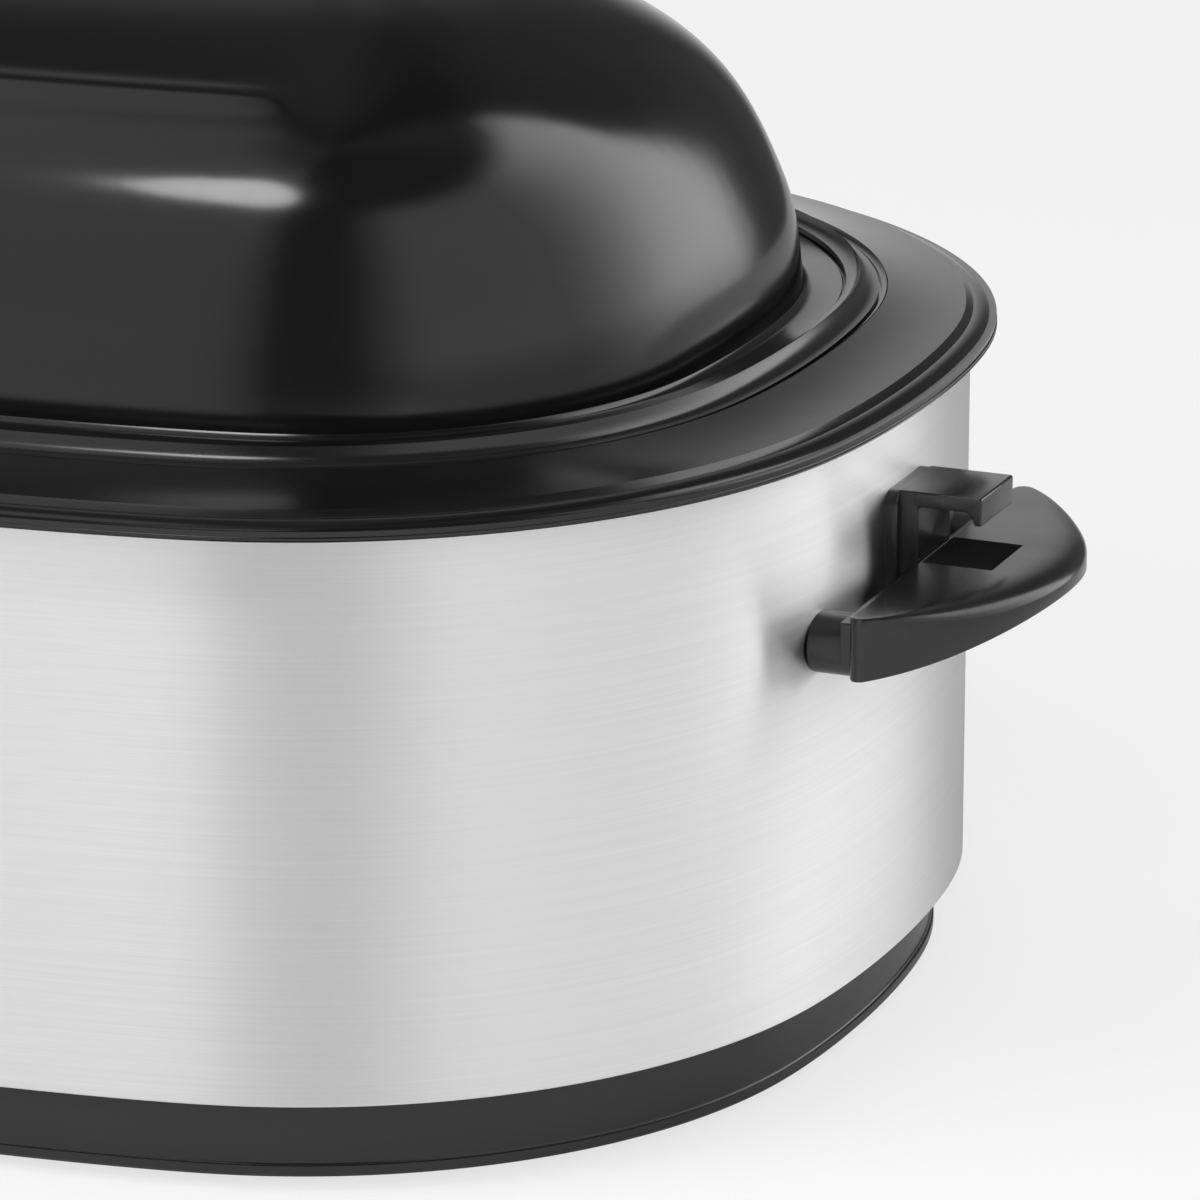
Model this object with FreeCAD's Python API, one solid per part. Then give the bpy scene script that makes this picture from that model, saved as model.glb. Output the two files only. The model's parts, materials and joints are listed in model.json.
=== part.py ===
import FreeCAD, Part
import math
import os

# Electric roaster oven, in millimetres.
# +X runs along the length, the front with its dial faces -Y, and Z is up.
# The origin is on the table, under the middle of the oven.

Vector = FreeCAD.Vector
ORIGIN = Vector(0, 0, 0)
UP = Vector(0, 0, 1)
ACROSS = Vector(0, 1, 0)

# Outline of the steel body, a closed chain of tangent arcs
HALF_LENGTH = 260.0
HALF_WIDTH = 187.3
SIDE_RADIUS = 820.0
END_RADIUS = 380.0
CORNER_RADIUS = 151.0

# Feet and base pan
FOOT_STAND = 4.0
FOOT_RADIUS = 8.0
FOOT_INSET = 42.0
FOOT_STEM_RADIUS = 2.9
FOOT_BARB = 1.2
FOOT_BARB_HEIGHT = 3.0
BASE_INSET = 7.6
BASE_HEIGHT = 21.4
BASE_WALL = 2.5
BASE_FLOOR_RISE = 2.5
BASE_FLOOR = 2.0
BOSS_INSET = 17.0
BOSS_RADIUS = 6.0

# Steel outer wall
WALL = 0.8
WALL_HEIGHT = 147.0
WALL_TUCK = 4.0
WALL_FLANGE = 24.0

# Wide rim of the heat well
RIM_OVERHANG = 7.0
RIM_LIP = 2.4
RIM_RISE = 9.9
RIM_SHEET = 1.1
RIM_SHOULDER_IN = 5.0
RIM_SHOULDER_DROP = 4.3
RIM_SHOULDER_BULGE = 1.07
RIM_SLOPE_BULGE = 0.92
RIM_EDGE = 0.4
RIM_INNER_FLAT = 1.0
RIM_INNER_DROP = 0.9

# Seat in the rim, where the cookwell hangs
SEAT_INSET = 23.6
SEAT_DROP = 2.2

# Heat well below the rim
WELL_INSET = 40.0
WELL_SHEET = 1.0
WELL_BEND = 3.0
WELL_FLOOR = 37.0
WELL_CORNER = 22.0

# Cookwell, the lift-out pan
PAN_SHEET = 1.0
PAN_SEAT_GAP = 0.8
PAN_BEAD_WIDTH = 9.0
PAN_BEAD_RISE = 5.0
PAN_BEAD_FOOT = 1.6
PAN_BEAD_CREST = 5.6
PAN_BEAD_BULGE = 1.1
PAN_BEAD_TURN = 2.2
PAN_BEAD_TURN_BULGE = 0.8
PAN_BEAD_LEAN = 0.5
PAN_WALL_INSET = 46.0
PAN_TAPER = 7.0
PAN_BEND = 2.5
PAN_WELL_GAP = 9.0
PAN_CORNER = 24.0

# Roasting rack
RACK_WIRE = 2.0
RACK_INSET = 64.0
RACK_STAND = 14.0
RACK_PITCH = 22.0
RACK_LIFT_HEIGHT = 34.0
RACK_LIFT_HALF = 32.0
RACK_LEG_INSET = 60.0
WELD_DEPTH = 0.6

# Lid
LID_SHEET = 1.0
LID_EDGE_GAP = 0.6
LID_END_INSET = 43.0
LID_SIDE_INSET = 49.0
LID_CORNER_RADIUS = 106.0
LID_HEIGHT = 101.0
LID_CROWN_DRAW = 92.0
LID_CROWN_SHARE = 0.945

# How far the dome's flank is drawn in, and what share of the lid's height it has reached there
DOME_FLANK = [(0.0, 0.0), (1.2, 0.12), (3.0, 0.22), (6.6, 0.32), (11.2, 0.42), (17.2, 0.52),
              (25.6, 0.615), (37.6, 0.705), (53.0, 0.79), (71.0, 0.872)]

# Lid handle
LID_HANDLE_LENGTH = 136.0
LID_HANDLE_WIDTH = 26.0
LID_HANDLE_HEIGHT = 34.0
LID_HANDLE_FOOT = 24.0
LID_HANDLE_BAR = 11.0
LID_HANDLE_ROUND = 3.5
LID_HANDLE_SHOULDER = 8.0
LID_HANDLE_ARCH = 2.0
LID_HANDLE_CHEEK = 7.0
LID_SCREW_RADIUS = 2.5
LID_SCREW_REACH = 11.0
LID_SCREW_SPARE = 1.0
WASHER_RADIUS = 7.0

# Carrying handles at the two ends
HANDLE_REACH = 45.0
HANDLE_INNER = 8.0
HANDLE_HALF = 66.0
HANDLE_WEB_HALF = 60.0
HANDLE_TOP = 134.0
HANDLE_PLATE = 3.0
HANDLE_LIP = 17.0
HANDLE_LIP_TIP = 7.0
HANDLE_ROUND = 2.0
HANDLE_BOSS_RADIUS = 8.0
HANDLE_BOSS_SPREAD = 50.0
HOOK_HALF = 12.0
HOOK_PLATE = 3.0
HOOK_REACH = 25.0
HOOK_RISE = 18.5
HOOK_ARM = 4.0
HOOK_LIP = 3.4
SLOT_START = 1.0
SLOT_LENGTH = 19.0
HANDLE_SCREW_RADIUS = 2.0
HANDLE_SCREW_CAP = 1.0
BACKING_SHEET = 1.5
BACKING_HALF = 62.0
BACKING_GAP = 0.3

# Control dial
DIAL_HEIGHT = 98.0
BEZEL_RADIUS = 46.0
BEZEL_DEPTH = 3.0
BEZEL_RIM = 2.0
BEZEL_RIM_RISE = 1.0
BEZEL_TUCK = 1.5
KNOB_RADIUS = 25.0
KNOB_SKIRT = 4.0
KNOB_GRIP_RADIUS = 20.0
KNOB_GRIP_HALF = 7.0
KNOB_GRIP_DEPTH = 13.0
KNOB_GAP = 0.5
KNOB_POCKET = 2.0
KNOB_FACE = 4.0
SHAFT_RADIUS = 3.0
SHAFT_FLAT = 2.0
RUNNING_GAP = 0.05
BUSHING_RADIUS = 5.0
THERMOSTAT_HALF = 18.0
THERMOSTAT_DEPTH = 20.0
THERMOSTAT_GAP = 0.4
SHAFT_TAIL = 2.0
LAMP_OFFSET = 62.0
LAMP_RADIUS = 4.5
LAMP_LENGTH = 10.0
LENS_WALL = 1.0
LENS_STEM = 3.0
LENS_FLANGE = 2.0
LENS_FLANGE_DEPTH = 1.5

# Heater and insulation
BAND_SHEET = 3.0
BAND_LOW = 60.0
BAND_HIGH = 120.0
SNUG_GAP = 0.3
INSULATION_INSET = 14.0
INSULATION_LOW = 40.0
INSULATION_HIGH = 160.0
SENSOR_RADIUS = 3.0
SENSOR_HALF = 26.0
SENSOR_HEIGHT = 136.0
SENSOR_GAP = 0.8
POCKET_MARGIN = 6.0
TERMINAL_HEIGHT = 90.0
TERMINAL_SPREAD = 12.0
TERMINAL_RADIUS = 2.5
BLOCK_HALF = 20.0
BLOCK_DEPTH = 10.0
BLOCK_HALF_HEIGHT = 7.0
LEAD_RADIUS = 1.5
LEAD_INSET = 9.0

# Cord gland in the back
GLAND_HEIGHT = 52.0
GLAND_REACH = 16.5
GLAND_FLANGE_RADIUS = 12.0
GLAND_FLANGE = 3.0
GLAND_RADIUS = 8.0
GLAND_TAPER = 1.5
GLAND_BORE = 3.6
GLAND_NUT_RADIUS = 11.0
GLAND_NUT = 5.0
GLAND_STEM_SPARE = 1.0

# Fasteners
SCREW_RADIUS = 2.0
SCREW_HEAD_RADIUS = 4.0
SCREW_HEAD = 2.2
HOLE_GAP = 0.2
NUT_WIDTH = 7.0
NUT_HEIGHT = 3.2
STUD_RADIUS = 3.0
STUD_NUT_WIDTH = 10.0
SCREW_SPARE = 1.0
OVERCUT = 1.0

# Heights that follow from the values above
BASE_BOTTOM = FOOT_STAND
WALL_BOTTOM = BASE_BOTTOM + BASE_HEIGHT
FLOOR_BOTTOM = BASE_BOTTOM + BASE_FLOOR_RISE
FLOOR_TOP = FLOOR_BOTTOM + BASE_FLOOR
RIM_BOTTOM = WALL_BOTTOM + WALL_HEIGHT
RIM_TOP = RIM_BOTTOM + RIM_RISE
SEAT_TOP = RIM_TOP - SEAT_DROP
PAN_LEDGE = SEAT_TOP + PAN_SHEET
LID_FLANGE_TOP = PAN_LEDGE + LID_SHEET
PAN_FLOOR = WELL_FLOOR + PAN_WELL_GAP + PAN_SHEET
SHIELD_BOTTOM = WALL_BOTTOM + WALL
SHIELD_TOP = SHIELD_BOTTOM + WALL
LID_TOP = LID_FLANGE_TOP + LID_HEIGHT
RACK_LEVEL = PAN_FLOOR + RACK_STAND
RACK_ACROSS = RACK_LEVEL + 2 * RACK_WIRE - WELD_DEPTH
BEAD_OUTSIDE = SEAT_INSET + PAN_SEAT_GAP
BEAD_INSIDE = BEAD_OUTSIDE + PAN_BEAD_WIDTH
HANDLE_X = HALF_LENGTH + HANDLE_INNER
PLATE_BOTTOM = HANDLE_TOP - HANDLE_PLATE
HANDLE_BOTTOM = HANDLE_TOP - HANDLE_LIP
FRONT = -HALF_WIDTH
WALL_INSIDE = HALF_WIDTH - WALL
BEZEL_FACE = FRONT - BEZEL_DEPTH
KNOB_BACK = BEZEL_FACE - KNOB_GAP
KNOB_FRONT = KNOB_BACK - KNOB_SKIRT - KNOB_GRIP_DEPTH
THERMOSTAT_FRONT = THERMOSTAT_GAP - WALL_INSIDE

# How far a quarter turn of radius one stands out from its chord
QUARTER = 1 - math.sqrt(0.5)


def outline(half_length, half_width, side_radius, end_radius, corner_radius):
    """Eight tangent arcs, counter-clockwise from the right end: centre, radius, start and sweep."""
    side = Vector(0, half_width - side_radius, 0)
    end = Vector(half_length - end_radius, 0, 0)
    from_side = side_radius - corner_radius
    from_end = end_radius - corner_radius
    apart = end.sub(side).Length
    along = (from_side ** 2 - from_end ** 2 + apart ** 2) / (2 * apart)
    away = math.sqrt(from_side ** 2 - along ** 2)
    unit = end.sub(side).normalize()
    corner = side + unit * along + Vector(unit.y, -unit.x, 0) * away
    low = math.degrees(math.atan2(corner.y, corner.x - end.x))
    high = math.degrees(math.atan2(corner.y - side.y, corner.x))
    turn = high - low
    x, y = corner.x, corner.y
    return [
        (Vector(end.x, 0, 0), end_radius, -low, 2 * low),
        (Vector(x, y, 0), corner_radius, low, turn),
        (Vector(0, side.y, 0), side_radius, high, 180 - 2 * high),
        (Vector(-x, y, 0), corner_radius, 180 - high, turn),
        (Vector(-end.x, 0, 0), end_radius, 180 - low, 2 * low),
        (Vector(-x, -y, 0), corner_radius, 180 + low, turn),
        (Vector(0, -side.y, 0), side_radius, 180 + high, 180 - 2 * high),
        (Vector(x, -y, 0), corner_radius, 360 - high, turn),
    ]


def body_outline(inset=0.0):
    """The body's outline, drawn in by the inset."""
    return outline(HALF_LENGTH - inset, HALF_WIDTH - inset, SIDE_RADIUS - inset,
                   END_RADIUS - inset, CORNER_RADIUS - inset)


def loop(arcs, height):
    """A closed wire along an outline at one height."""
    edges = []
    for centre, radius, start, sweep in arcs:
        middle = Vector(centre.x, centre.y, height)
        edges.append(Part.makeCircle(radius, middle, UP, start, start + sweep))
    return Part.Wire(edges)


def slab(arcs, low, high):
    """A flat plate with an outline, between two heights."""
    return Part.Face(loop(arcs, low)).extrude(UP * (high - low))


def profile(start, *steps):
    """A face in the XZ plane: two numbers end a straight run, three give an arc's bulge and end."""
    edges = []
    here = start
    for step in steps:
        end = step[-2:]
        a = Vector(here[0], 0, here[1])
        b = Vector(end[0], 0, end[1])
        if len(step) == 2:
            edges.append(Part.makeLine(a, b))
        else:
            way = b.sub(a).normalize()
            middle = (a + b) / 2 + Vector(-way.z, 0, way.x) * step[0]
            edges.append(Part.Arc(a, middle, b).toShape())
        here = end
    return Part.Face(Part.Wire(edges))


def smooth_edge(points):
    """A smooth curve through points."""
    curve = Part.BSplineCurve()
    curve.interpolate(points)
    return curve.toShape()


def sweep_round(face, arcs):
    """A ring of one section, whose X counts outward from the outline."""
    pieces = []
    for centre, radius, start, sweep in arcs:
        section = face.copy()
        section.translate(Vector(radius, 0, 0))
        section.rotate(ORIGIN, UP, start)
        section.translate(centre)
        pieces.append(section.revolve(centre, UP, sweep))
    return pieces[0].multiFuse(pieces[1:]).removeSplitter()


def band(outside, inside, low, high):
    """A ring between two insets and two heights."""
    return slab(body_outline(outside), low, high).cut(slab(body_outline(inside), low, high))


def corner_points(inset):
    """The middle of each corner of the body's outline, drawn in by the inset."""
    points = []
    for index in (1, 3, 5, 7):
        centre, radius, start, sweep = body_outline(inset)[index]
        angle = math.radians(start + sweep / 2)
        points.append(Vector(centre.x + radius * math.cos(angle), centre.y + radius * math.sin(angle), 0))
    return points


def rod(radius, start, end):
    """A round bar between two points."""
    way = end.sub(start)
    return Part.makeCylinder(radius, way.Length, start, way)


def post(radius, at, low, high):
    """An upright round bar."""
    return rod(radius, Vector(at.x, at.y, low), Vector(at.x, at.y, high))


def block(x, y, z):
    """A box between two values along each axis."""
    return Part.makeBox(x[1] - x[0], y[1] - y[0], z[1] - z[0], Vector(x[0], y[0], z[0]))


def hexagon(width, at, low, high):
    """An upright hexagonal bar, by its width across the flats."""
    radius = width / math.sqrt(3)
    corners = []
    for index in range(7):
        angle = math.radians(60 * index)
        corners.append(Vector(at.x + radius * math.cos(angle), at.y + radius * math.sin(angle), low))
    return Part.Face(Part.makePolygon(corners)).extrude(UP * (high - low))


def fuse(shapes):
    """One solid of many."""
    return shapes[0].multiFuse(shapes[1:]).removeSplitter()


def cut_all(shape, tools):
    """A solid with every tool cut from it."""
    return shape.cut(Part.makeCompound(tools))


def wall_y(x, inset=0.0):
    """How far the front and back stand from the middle plane at a given X."""
    return HALF_WIDTH - SIDE_RADIUS + math.sqrt((SIDE_RADIUS - inset) ** 2 - x ** 2)


def turned(shape):
    """The same piece at the other end."""
    other = shape.copy()
    other.rotate(ORIGIN, UP, 180)
    return other


def screw_axes():
    """The handle screws' places at the right end: Y and Z."""
    low = PLATE_BOTTOM - HANDLE_BOSS_RADIUS - HOLE_GAP
    high = HANDLE_TOP + HOOK_RISE - HANDLE_BOSS_RADIUS
    return [(-HANDLE_BOSS_SPREAD, low), (HANDLE_BOSS_SPREAD, low), (0.0, high)]


# Base

def make_feet():
    """Rubber feet, pushed into the base floor."""
    feet = []
    for at in corner_points(FOOT_INSET):
        pad = post(FOOT_RADIUS, at, 0, FLOOR_BOTTOM)
        stem = post(FOOT_STEM_RADIUS, at, FLOOR_BOTTOM, FLOOR_TOP)
        barb = Part.makeCone(FOOT_STEM_RADIUS + FOOT_BARB, FOOT_STEM_RADIUS, FOOT_BARB_HEIGHT,
                             Vector(at.x, at.y, FLOOR_TOP), UP)
        feet.append(fuse([pad, stem, barb]))
    return Part.makeCompound(feet)


def make_base_pan():
    """Black base: a band with a floor, screw bosses and holes for the feet and the stud."""
    inside = BASE_INSET + BASE_WALL
    pan = slab(body_outline(BASE_INSET), BASE_BOTTOM, WALL_BOTTOM)
    pan = pan.cut(slab(body_outline(inside), FLOOR_TOP, WALL_BOTTOM))
    pan = pan.cut(slab(body_outline(inside), BASE_BOTTOM, FLOOR_BOTTOM))
    bosses = []
    holes = []
    for at in corner_points(BOSS_INSET):
        bosses.append(post(BOSS_RADIUS, at, FLOOR_TOP, WALL_BOTTOM))
        holes.append(post(SCREW_RADIUS + HOLE_GAP, at, BASE_BOTTOM, WALL_BOTTOM))
    for at in corner_points(FOOT_INSET):
        holes.append(post(FOOT_STEM_RADIUS, at, BASE_BOTTOM, WALL_BOTTOM))
    holes.append(post(STUD_RADIUS + HOLE_GAP, ORIGIN, BASE_BOTTOM, WALL_BOTTOM))
    return cut_all(fuse([pan] + bosses), holes)


def make_base_screws():
    """Screws that hold the base pan, the wall and the heat shield together."""
    screws = []
    top = SHIELD_TOP + NUT_HEIGHT + SCREW_SPARE
    for at in corner_points(BOSS_INSET):
        head = post(SCREW_HEAD_RADIUS, at, FLOOR_BOTTOM - SCREW_HEAD, FLOOR_BOTTOM)
        screws.append(fuse([head, post(SCREW_RADIUS, at, FLOOR_BOTTOM, top)]))
    return Part.makeCompound(screws)


def make_base_nuts():
    """Nuts of the base screws, on the heat shield."""
    nuts = []
    for at in corner_points(BOSS_INSET):
        nut = hexagon(NUT_WIDTH, at, SHIELD_TOP, SHIELD_TOP + NUT_HEIGHT)
        nuts.append(nut.cut(post(SCREW_RADIUS, at, SHIELD_TOP, SHIELD_TOP + NUT_HEIGHT)))
    return Part.makeCompound(nuts)


def make_heat_shield():
    """Steel plate between the well and the base."""
    plate = slab(body_outline(WALL + SNUG_GAP), SHIELD_BOTTOM, SHIELD_TOP)
    holes = [post(STUD_RADIUS + HOLE_GAP, ORIGIN, SHIELD_BOTTOM, SHIELD_TOP)]
    for at in corner_points(BOSS_INSET):
        holes.append(post(SCREW_RADIUS + HOLE_GAP, at, SHIELD_BOTTOM, SHIELD_TOP))
    return cut_all(plate, holes)


def make_centre_stud():
    """Stud welded under the well, which draws the body down onto the base."""
    low = FLOOR_BOTTOM - SCREW_HEAD
    return post(STUD_RADIUS, ORIGIN, low, WELL_FLOOR - WELL_SHEET)


def make_centre_nut():
    """Thin nut of the centre stud, under the base floor."""
    low = FLOOR_BOTTOM - SCREW_HEAD
    nut = hexagon(STUD_NUT_WIDTH, ORIGIN, low, FLOOR_BOTTOM)
    return nut.cut(post(STUD_RADIUS, ORIGIN, low, FLOOR_BOTTOM))


# Outer wall and heat well

def make_outer_wall():
    """Brushed steel wrap with an inward flange at its foot."""
    top = RIM_BOTTOM + WALL_TUCK
    section = profile((0, WALL_BOTTOM), (0, top), (-WALL, top), (-WALL, SHIELD_BOTTOM),
                      (-WALL_FLANGE, SHIELD_BOTTOM), (-WALL_FLANGE, WALL_BOTTOM), (0, WALL_BOTTOM))
    wall = sweep_round(section, body_outline())
    holes = []
    for at in corner_points(BOSS_INSET):
        holes.append(post(SCREW_RADIUS + HOLE_GAP, at, WALL_BOTTOM, SHIELD_BOTTOM))
    for y, z in screw_axes():
        near = Vector(HALF_LENGTH - HANDLE_BOSS_SPREAD, y, z)
        hole = rod(HANDLE_SCREW_RADIUS + HOLE_GAP, near, Vector(HALF_LENGTH + WALL, y, z))
        holes.append(hole)
        holes.append(turned(hole))
    deep = HALF_WIDTH - THERMOSTAT_DEPTH
    outside = FRONT - WALL
    near = Vector(0, outside, DIAL_HEIGHT)
    holes.append(rod(BUSHING_RADIUS + HOLE_GAP, Vector(0, -deep, DIAL_HEIGHT), near))
    lamp = LAMP_RADIUS + HOLE_GAP
    near = Vector(-LAMP_OFFSET, outside, DIAL_HEIGHT)
    holes.append(rod(lamp, Vector(-LAMP_OFFSET, -deep, DIAL_HEIGHT), near))
    gland = GLAND_RADIUS + HOLE_GAP
    holes.append(rod(gland, Vector(0, deep, GLAND_HEIGHT), Vector(0, HALF_WIDTH + WALL, GLAND_HEIGHT)))
    return cut_all(wall, holes)


def rim_section():
    """Section of the well's sheet, from the rim's outer lip down to the edge of its floor."""
    out = RIM_OVERHANG
    sheet = RIM_SHEET
    shoulder = out - RIM_SHOULDER_IN
    shoulder_top = RIM_TOP - RIM_SHOULDER_DROP
    lip_top = RIM_BOTTOM + RIM_LIP
    inner = -WELL_INSET - WELL_SHEET
    outer = -WELL_INSET
    bend = WELL_BEND
    small = WELL_BEND - WELL_SHEET
    corner = WELL_CORNER
    wide = WELL_CORNER + WELL_SHEET
    floor_low = WELL_FLOOR - WELL_SHEET
    return profile(
        (out - sheet, RIM_BOTTOM),
        (out - RIM_EDGE, RIM_BOTTOM),
        (out, RIM_BOTTOM + RIM_EDGE),
        (out, lip_top),
        (-RIM_SHOULDER_BULGE, shoulder, shoulder_top),
        (-RIM_SLOPE_BULGE, -SEAT_INSET + RIM_INNER_FLAT, RIM_TOP),
        (-SEAT_INSET, RIM_TOP - RIM_INNER_DROP),
        (-SEAT_INSET, SEAT_TOP),
        (inner + bend, SEAT_TOP),
        (-bend * QUARTER, inner, SEAT_TOP - bend),
        (inner, WELL_FLOOR + corner),
        (corner * QUARTER, inner - corner, WELL_FLOOR),
        (inner - corner, floor_low),
        (-wide * QUARTER, outer, WELL_FLOOR + corner),
        (outer, SEAT_TOP - bend),
        (small * QUARTER, outer + small, SEAT_TOP - WELL_SHEET),
        (-SEAT_INSET + RIM_INNER_FLAT, SEAT_TOP - WELL_SHEET),
        (-SEAT_INSET + sheet, RIM_TOP - sheet),
        (RIM_SLOPE_BULGE, shoulder - sheet / 2, shoulder_top - sheet),
        (RIM_SHOULDER_BULGE, out - sheet, lip_top - sheet / 5),
        (out - sheet, RIM_BOTTOM),
    )


def make_heat_well():
    """Black enamelled liner: wide rim, walls and floor in one sheet."""
    ring = sweep_round(rim_section(), body_outline())
    floor = slab(body_outline(WELL_INSET + WELL_SHEET + WELL_CORNER), WELL_FLOOR - WELL_SHEET, WELL_FLOOR)
    return fuse([ring, floor])


def make_heater_band():
    """Mica band heater, wrapped round the well."""
    inside = WELL_INSET - SNUG_GAP
    return band(inside - BAND_SHEET, inside, BAND_LOW, BAND_HIGH)


def make_heater_terminals():
    """Two terminal pins from the band heater to the terminal block."""
    start = HALF_WIDTH - WELL_INSET + SNUG_GAP + BAND_SHEET
    pins = []
    for x in (-TERMINAL_SPREAD, TERMINAL_SPREAD):
        near = Vector(x, start, TERMINAL_HEIGHT)
        far = Vector(x, WALL_INSIDE - SNUG_GAP - BLOCK_DEPTH, TERMINAL_HEIGHT)
        pins.append(rod(TERMINAL_RADIUS, near, far))
    return Part.makeCompound(pins)


def make_insulation():
    """Glass fibre blanket with pockets at the thermostat and the terminals."""
    inside = WELL_INSET - SNUG_GAP - BAND_SHEET - SNUG_GAP
    blanket = band(INSULATION_INSET, inside, INSULATION_LOW, INSULATION_HIGH)
    half = SENSOR_HALF + POCKET_MARGIN
    top = INSULATION_HIGH
    low = DIAL_HEIGHT - THERMOSTAT_HALF - POCKET_MARGIN
    front = block((-half, half), (-HALF_WIDTH, -HALF_WIDTH + WELL_INSET), (low, top))
    half = BLOCK_HALF + POCKET_MARGIN
    low = TERMINAL_HEIGHT - BLOCK_HALF_HEIGHT - POCKET_MARGIN
    high = TERMINAL_HEIGHT + BLOCK_HALF_HEIGHT + POCKET_MARGIN
    back = block((-half, half), (HALF_WIDTH - WELL_INSET, HALF_WIDTH), (low, high))
    lamp = LAMP_RADIUS + POCKET_MARGIN
    behind = -HALF_WIDTH + WELL_INSET / 2
    round_lamp = block((-LAMP_OFFSET - lamp, -LAMP_OFFSET + lamp), (-HALF_WIDTH, behind),
                       (DIAL_HEIGHT - lamp, DIAL_HEIGHT + lamp))
    return cut_all(blanket, [front, back, round_lamp])


def make_terminal_block():
    """Ceramic block inside the back wall, where the leads meet."""
    far = WALL_INSIDE - SNUG_GAP
    return block((-BLOCK_HALF, BLOCK_HALF), (far - BLOCK_DEPTH, far),
                 (TERMINAL_HEIGHT - BLOCK_HALF_HEIGHT, TERMINAL_HEIGHT + BLOCK_HALF_HEIGHT))


# Thermostat and dial

def make_thermostat():
    """Thermostat body with the bushing that carries the dial's shaft."""
    back = THERMOSTAT_FRONT
    half = THERMOSTAT_HALF
    body = block((-half, half), (back, back + THERMOSTAT_DEPTH), (DIAL_HEIGHT - half, DIAL_HEIGHT + half))
    axis = Vector(0, back, DIAL_HEIGHT)
    bushing = rod(BUSHING_RADIUS, axis, Vector(0, BEZEL_FACE, DIAL_HEIGHT))
    bore = rod(SHAFT_RADIUS + RUNNING_GAP, Vector(0, back + THERMOSTAT_DEPTH, DIAL_HEIGHT),
               Vector(0, FRONT - 2 * BEZEL_DEPTH, DIAL_HEIGHT))
    return fuse([body, bushing]).cut(bore)


def make_thermostat_sensor():
    """Bulb that lies on the well above the heater, and its capillary down to the thermostat."""
    y = -(HALF_WIDTH - WELL_INSET) - SENSOR_GAP - SENSOR_RADIUS
    bulb = rod(SENSOR_RADIUS, Vector(-SENSOR_HALF, y, SENSOR_HEIGHT), Vector(SENSOR_HALF, y, SENSOR_HEIGHT))
    top = DIAL_HEIGHT + THERMOSTAT_HALF
    middle = -WALL_INSIDE + THERMOSTAT_DEPTH / 2
    knee = Vector(0, middle, (top + SENSOR_HEIGHT) / 2)
    riser = rod(SENSOR_RADIUS / 3, Vector(0, middle, top), knee)
    elbow = Part.makeSphere(SENSOR_RADIUS / 3, knee)
    capillary = rod(SENSOR_RADIUS / 3, knee, Vector(0, y, SENSOR_HEIGHT))
    return fuse([bulb, capillary, elbow, riser])


def make_lead_rings():
    """Two leads that run round the right end inside the wall, from the terminals to the thermostat."""
    leads = []
    for height in (TERMINAL_HEIGHT - 2 * LEAD_RADIUS, TERMINAL_HEIGHT + 2 * LEAD_RADIUS):
        circle = Part.makeCircle(LEAD_RADIUS, Vector(-LEAD_INSET, 0, height), ACROSS)
        ring = sweep_round(Part.Face(Part.Wire([circle])), body_outline())
        wide = (-HALF_LENGTH, BLOCK_HALF)
        tall = (height - 2 * LEAD_RADIUS, height + 2 * LEAD_RADIUS)
        back = block(wide, (0, HALF_WIDTH), tall)
        wide = (-HALF_LENGTH, THERMOSTAT_HALF)
        front = block(wide, (-HALF_WIDTH, 0), tall)
        leads.append(cut_all(ring, [back, front]))
    return Part.makeCompound(leads)


def make_control_bezel():
    """Round dial plate on the front of the wall, hollowed to fit its curve."""
    centre = Vector(0, FRONT + BEZEL_TUCK, DIAL_HEIGHT)
    plate = rod(BEZEL_RADIUS, centre, Vector(0, BEZEL_FACE, DIAL_HEIGHT))
    rim = rod(BEZEL_RADIUS, centre, Vector(0, BEZEL_FACE - BEZEL_RIM_RISE, DIAL_HEIGHT))
    rim = rim.cut(rod(BEZEL_RADIUS - BEZEL_RIM, centre, Vector(0, FRONT - 2 * BEZEL_DEPTH, DIAL_HEIGHT)))
    hole = rod(BUSHING_RADIUS + HOLE_GAP, centre, Vector(0, FRONT - 2 * BEZEL_DEPTH, DIAL_HEIGHT))
    body = slab(body_outline(), WALL_BOTTOM, RIM_BOTTOM)
    return cut_all(fuse([plate, rim]), [hole, body])


def make_control_knob():
    """Dial knob: a skirt and a grip bar, with a bore that fits the shaft's flat."""
    skirt = rod(KNOB_RADIUS, Vector(0, KNOB_BACK, DIAL_HEIGHT), Vector(0, KNOB_BACK - KNOB_SKIRT, DIAL_HEIGHT))
    grip = rod(KNOB_GRIP_RADIUS, Vector(0, KNOB_BACK, DIAL_HEIGHT), Vector(0, KNOB_FRONT, DIAL_HEIGHT))
    bar = block((-KNOB_GRIP_HALF, KNOB_GRIP_HALF), (KNOB_FRONT, KNOB_BACK),
                (DIAL_HEIGHT - KNOB_GRIP_RADIUS, DIAL_HEIGHT + KNOB_GRIP_RADIUS))
    knob = fuse([skirt, grip.common(bar)])
    pocket = rod(BUSHING_RADIUS + 2 * HOLE_GAP, Vector(0, KNOB_BACK, DIAL_HEIGHT),
                 Vector(0, KNOB_BACK - KNOB_POCKET, DIAL_HEIGHT))
    bore = shaft_bar(RUNNING_GAP, KNOB_BACK, KNOB_FRONT + KNOB_FACE)
    return knob.cut(pocket).cut(bore)


def shaft_bar(gap, start, end):
    """The shaft's D section, grown by a gap, between two places along Y."""
    bar = rod(SHAFT_RADIUS + gap, Vector(0, start, DIAL_HEIGHT), Vector(0, end, DIAL_HEIGHT))
    flat = DIAL_HEIGHT + SHAFT_FLAT + gap
    wide = 2 * SHAFT_RADIUS
    return bar.cut(block((-wide, wide), (end - OVERCUT, start + OVERCUT), (flat, flat + wide)))


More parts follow.
